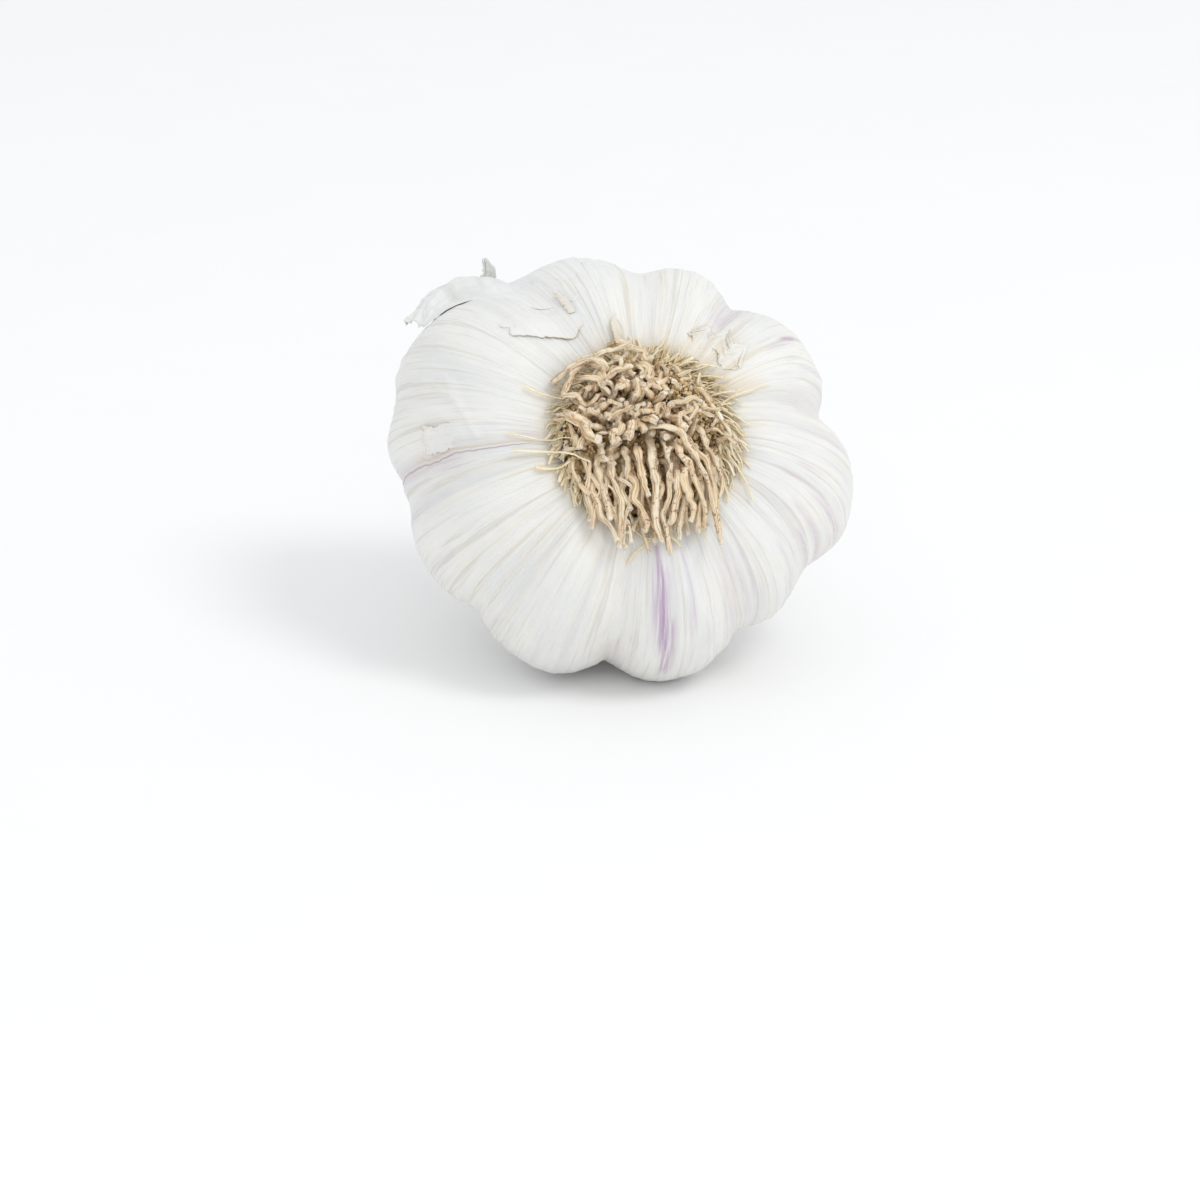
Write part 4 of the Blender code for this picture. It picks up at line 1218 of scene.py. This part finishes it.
def makeCrumbTree():
    inputs = [("Density", "Float", 1.0), ("Smallest", "Float", 0.1 * mm), ("Largest", "Float", 0.4 * mm),
              ("Seed", "Int", 0), ("Material", "Material", None)]
    tree, sheet, ports = geometryTree("soilCrumbs", inputs)
    share = sheet.add("GeometryNodeInputNamedAttribute", {"data_type": "FLOAT"}, ["share"])
    values = {"Mesh": ports["Geometry"], "Density": ports["Density"] * share, "Seed": ports["Seed"]}
    points = sheet.add("GeometryNodeDistributePointsOnFaces", {"distribute_method": "RANDOM"}, values)
    crumb = sheet.add("GeometryNodeMeshIcoSphere", {}, {"Radius": 1.0, "Subdivisions": 2})
    place = sheet.add("GeometryNodeInputPosition")
    rough = sheet.noise(place, 1.4, 1.0) - 0.5
    push = sheet.add("ShaderNodeVectorMath", {"operation": "SCALE"}, {"Vector": place, "Scale": rough * 1.5})
    crumb = sheet.add("GeometryNodeSetPosition", {}, {"Geometry": crumb, "Offset": push})
    values = {2: 0.0, 3: 1.0, "Seed": ports["Seed"]}
    size = sheet.add("FunctionNodeRandomValue", {"data_type": "FLOAT"}, values, 1)
    size = ports["Smallest"] + (ports["Largest"] - ports["Smallest"]) * size * size
    values = {0: (0, 0, 0), 1: (tau, tau, tau), "Seed": 3}
    turn = sheet.add("FunctionNodeRandomValue", {"data_type": "FLOAT_VECTOR"}, values)
    values = {"Points": points, "Instance": crumb, "Rotation": turn, "Scale": size}
    crumbs = sheet.add("GeometryNodeInstanceOnPoints", {}, values)
    tone = sheet.add("FunctionNodeRandomValue", {"data_type": "FLOAT"}, {2: 0.0, 3: 1.0, "Seed": 8}, 1)
    values = {"Geometry": crumbs, "Name": "tone", "Value": tone}
    crumbs = sheet.add("GeometryNodeStoreNamedAttribute", {"data_type": "FLOAT", "domain": "INSTANCE"}, values)
    endTree(sheet, crumbs, ports["Material"])
    return tree


# loose soil and dry bits between the roots, heaped up at the upper right and strewn over the rim there
crumbHeap = {"reach": 12.6, "middle": 5.2, "height": 1.5, "lumps": 0.4}
crumbShape = {"Density": 11.0 / mm**2, "Smallest": 0.10 * mm, "Largest": 0.34 * mm, "Seed": 7}


def makeCrumbs():
    columns, rows = 90, 26
    angle, share = np.meshgrid(np.linspace(0, tau, columns, endpoint=False), np.linspace(0.03, 1, rows))
    r = crumbHeap["reach"] * share
    u, v = r * np.cos(angle), r * np.sin(angle)
    heap = np.exp(-((u - crumbHeap["middle"]) ** 2 + (v - crumbHeap["middle"]) ** 2) / 16)
    height = plateTop + 0.2 + crumbHeap["height"] * heap * (1 - smoothStep(7.7, 10.3, r))
    height -= 1.1 * smoothStep(8.2, 10.3, r)
    onSkin = overSkin(angle, np.maximum(0, r - bulb["rim"][0]), 0.12)[..., 2]
    height = np.where(r < 10.6, height, np.minimum(height, onSkin))
    points = np.stack([u, v, height], -1).reshape(-1, 3)
    points[:, 2] += noiseAt(points, 0.9, 4.0) * crumbHeap["lumps"] * (r < 10.4).ravel()
    upper = 0.30 + 0.7 * smoothStep(-4.0, 1.0, points[:, 1])
    inside = 1 - smoothStep(9.8, 10.6, r.ravel())
    outside = 0.8 * np.maximum(0, np.cos(angle - 0.6)).ravel() ** 2 * (1 - smoothStep(10.8, 12.4, r.ravel()))
    share = np.clip((upper * 0.42 + heap.ravel()) * inside + outside * (1 - inside), 0, 1)
    faces = [face[::-1] for face in gridFaces(rows, columns, True)]
    obj = meshObject("soil_crumbs", toRoom(points), faces, {"share": share})
    material, sheet, shader = newMaterial("soilCrumb", {"Specular IOR Level": 0.15, "Roughness": 0.9})
    tone = sheet.attribute("tone")
    grit = sheet.noise(sheet.objectPlace(), 2600.0, 2.0, 0.6)
    colour = sheet.add("ShaderNodeValToRGB", {"stops": [
        (0.0, (0.16, 0.10, 0.05)), (0.25, (0.52, 0.37, 0.18)), (0.55, (0.72, 0.54, 0.30)),
        (0.80, (0.88, 0.68, 0.36)), (1.0, (0.95, 0.91, 0.80))]}, [tone])
    colour = sheet.mix(sheet.step(grit, 0.45, 0.65) * 0.4, colour, (0.30, 0.24, 0.17))
    sheet.fill(shader, {"Base Color": colour, "Normal": sheet.bump(grit, 0.2 * mm, 0.8)})
    obj = bakeTree(obj, makeCrumbTree(), dict(crumbShape, Material=material))
    return show(obj, "basal_plate", "basal_plate")


makePlate()
makeCrumbs()


# table, light and camera

studio = {
    "fill": 0.90,
    "lamps": [
        ("windowKey", (0.50, -0.42, 0.92), 0.40, 2.7, (1.0, 0.995, 0.98)),
        ("frontFill", (-0.10, -1.05, 0.50), 0.60, 0.7, (1.0, 0.99, 0.97)),
    ],
}


def makeStudio():
    bpy.ops.mesh.primitive_plane_add(size=6)
    floor = bpy.context.object
    floor.name = "studio_floor"
    material, sheet, shader = newMaterial("paleTable", {"Specular IOR Level": 0.1, "Roughness": 0.9})
    sheet.fill(shader, {"Base Color": sheet.mix(
        sheet.noise(sheet.objectPlace(), 60.0, 3.0), (0.93, 0.93, 0.93), (0.945, 0.945, 0.945))})
    floor.data.materials.append(material)

    world = bpy.data.worlds.new("softRoom")
    bpy.context.scene.world = world
    world.use_nodes = True
    background = world.node_tree.nodes["Background"]
    background.inputs["Color"].default_value = (0.97, 0.985, 1.0, 1)
    background.inputs["Strength"].default_value = studio["fill"]
    for name, place, size, power, colour in studio["lamps"]:
        data = bpy.data.lights.new(name, "AREA")
        data.shape = "DISK"
        data.size = size
        data.energy = power
        data.color = colour
        lamp = linked(name, data)
        lamp.location = place
        lamp.rotation_euler = (Vector((0, 0, 0.02)) - Vector(place)).to_track_quat("-Z", "Y").to_euler()


viewer = {
    "azimuth": radians(-8),
    "elevation": radians(22),
    "roll": radians(2),
    "lens": 100.0,
    "width": 156 * mm,  # what the frame takes in at the bulb
    "centre": (0.5175, 0.39),  # where the bulb sits, in shares of the frame from its upper left
    "aim": (0.0005, 0.0235),
}


sensorWidth = 36.0


def makeCamera():
    # looks at the roots from slightly above; the bulb sits in the upper half of the frame
    width = viewer["width"]
    distance = width * viewer["lens"] / sensorWidth
    azimuth, elevation = viewer["azimuth"], viewer["elevation"]
    back = Vector((sin(azimuth) * cos(elevation), -cos(azimuth) * cos(elevation), sin(elevation)))
    facing = back.to_track_quat("Z", "Y").to_matrix() @ Matrix.Rotation(viewer["roll"], 3, "Z")
    right, up = facing.col[0], facing.col[1]
    low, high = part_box("wrapped_bulb")
    middle = Vector(((low.x + high.x) / 2 + viewer["aim"][0], 0, viewer["aim"][1]))
    aside, down = viewer["centre"][0] - 0.5, viewer["centre"][1] - 0.5
    target = middle - right * aside * width + up * down * width
    data = bpy.data.cameras.new("viewer")
    data.lens = viewer["lens"]
    data.sensor_width = sensorWidth
    data.clip_start = 0.01
    camera = linked("viewer", data)
    camera.matrix_world = Matrix.Translation(target + back * distance) @ facing.to_4x4()
    bpy.context.scene.camera = camera
    bpy.context.scene.view_settings.view_transform = "Standard"


makeStudio()
makeCamera()
print("studio ready")
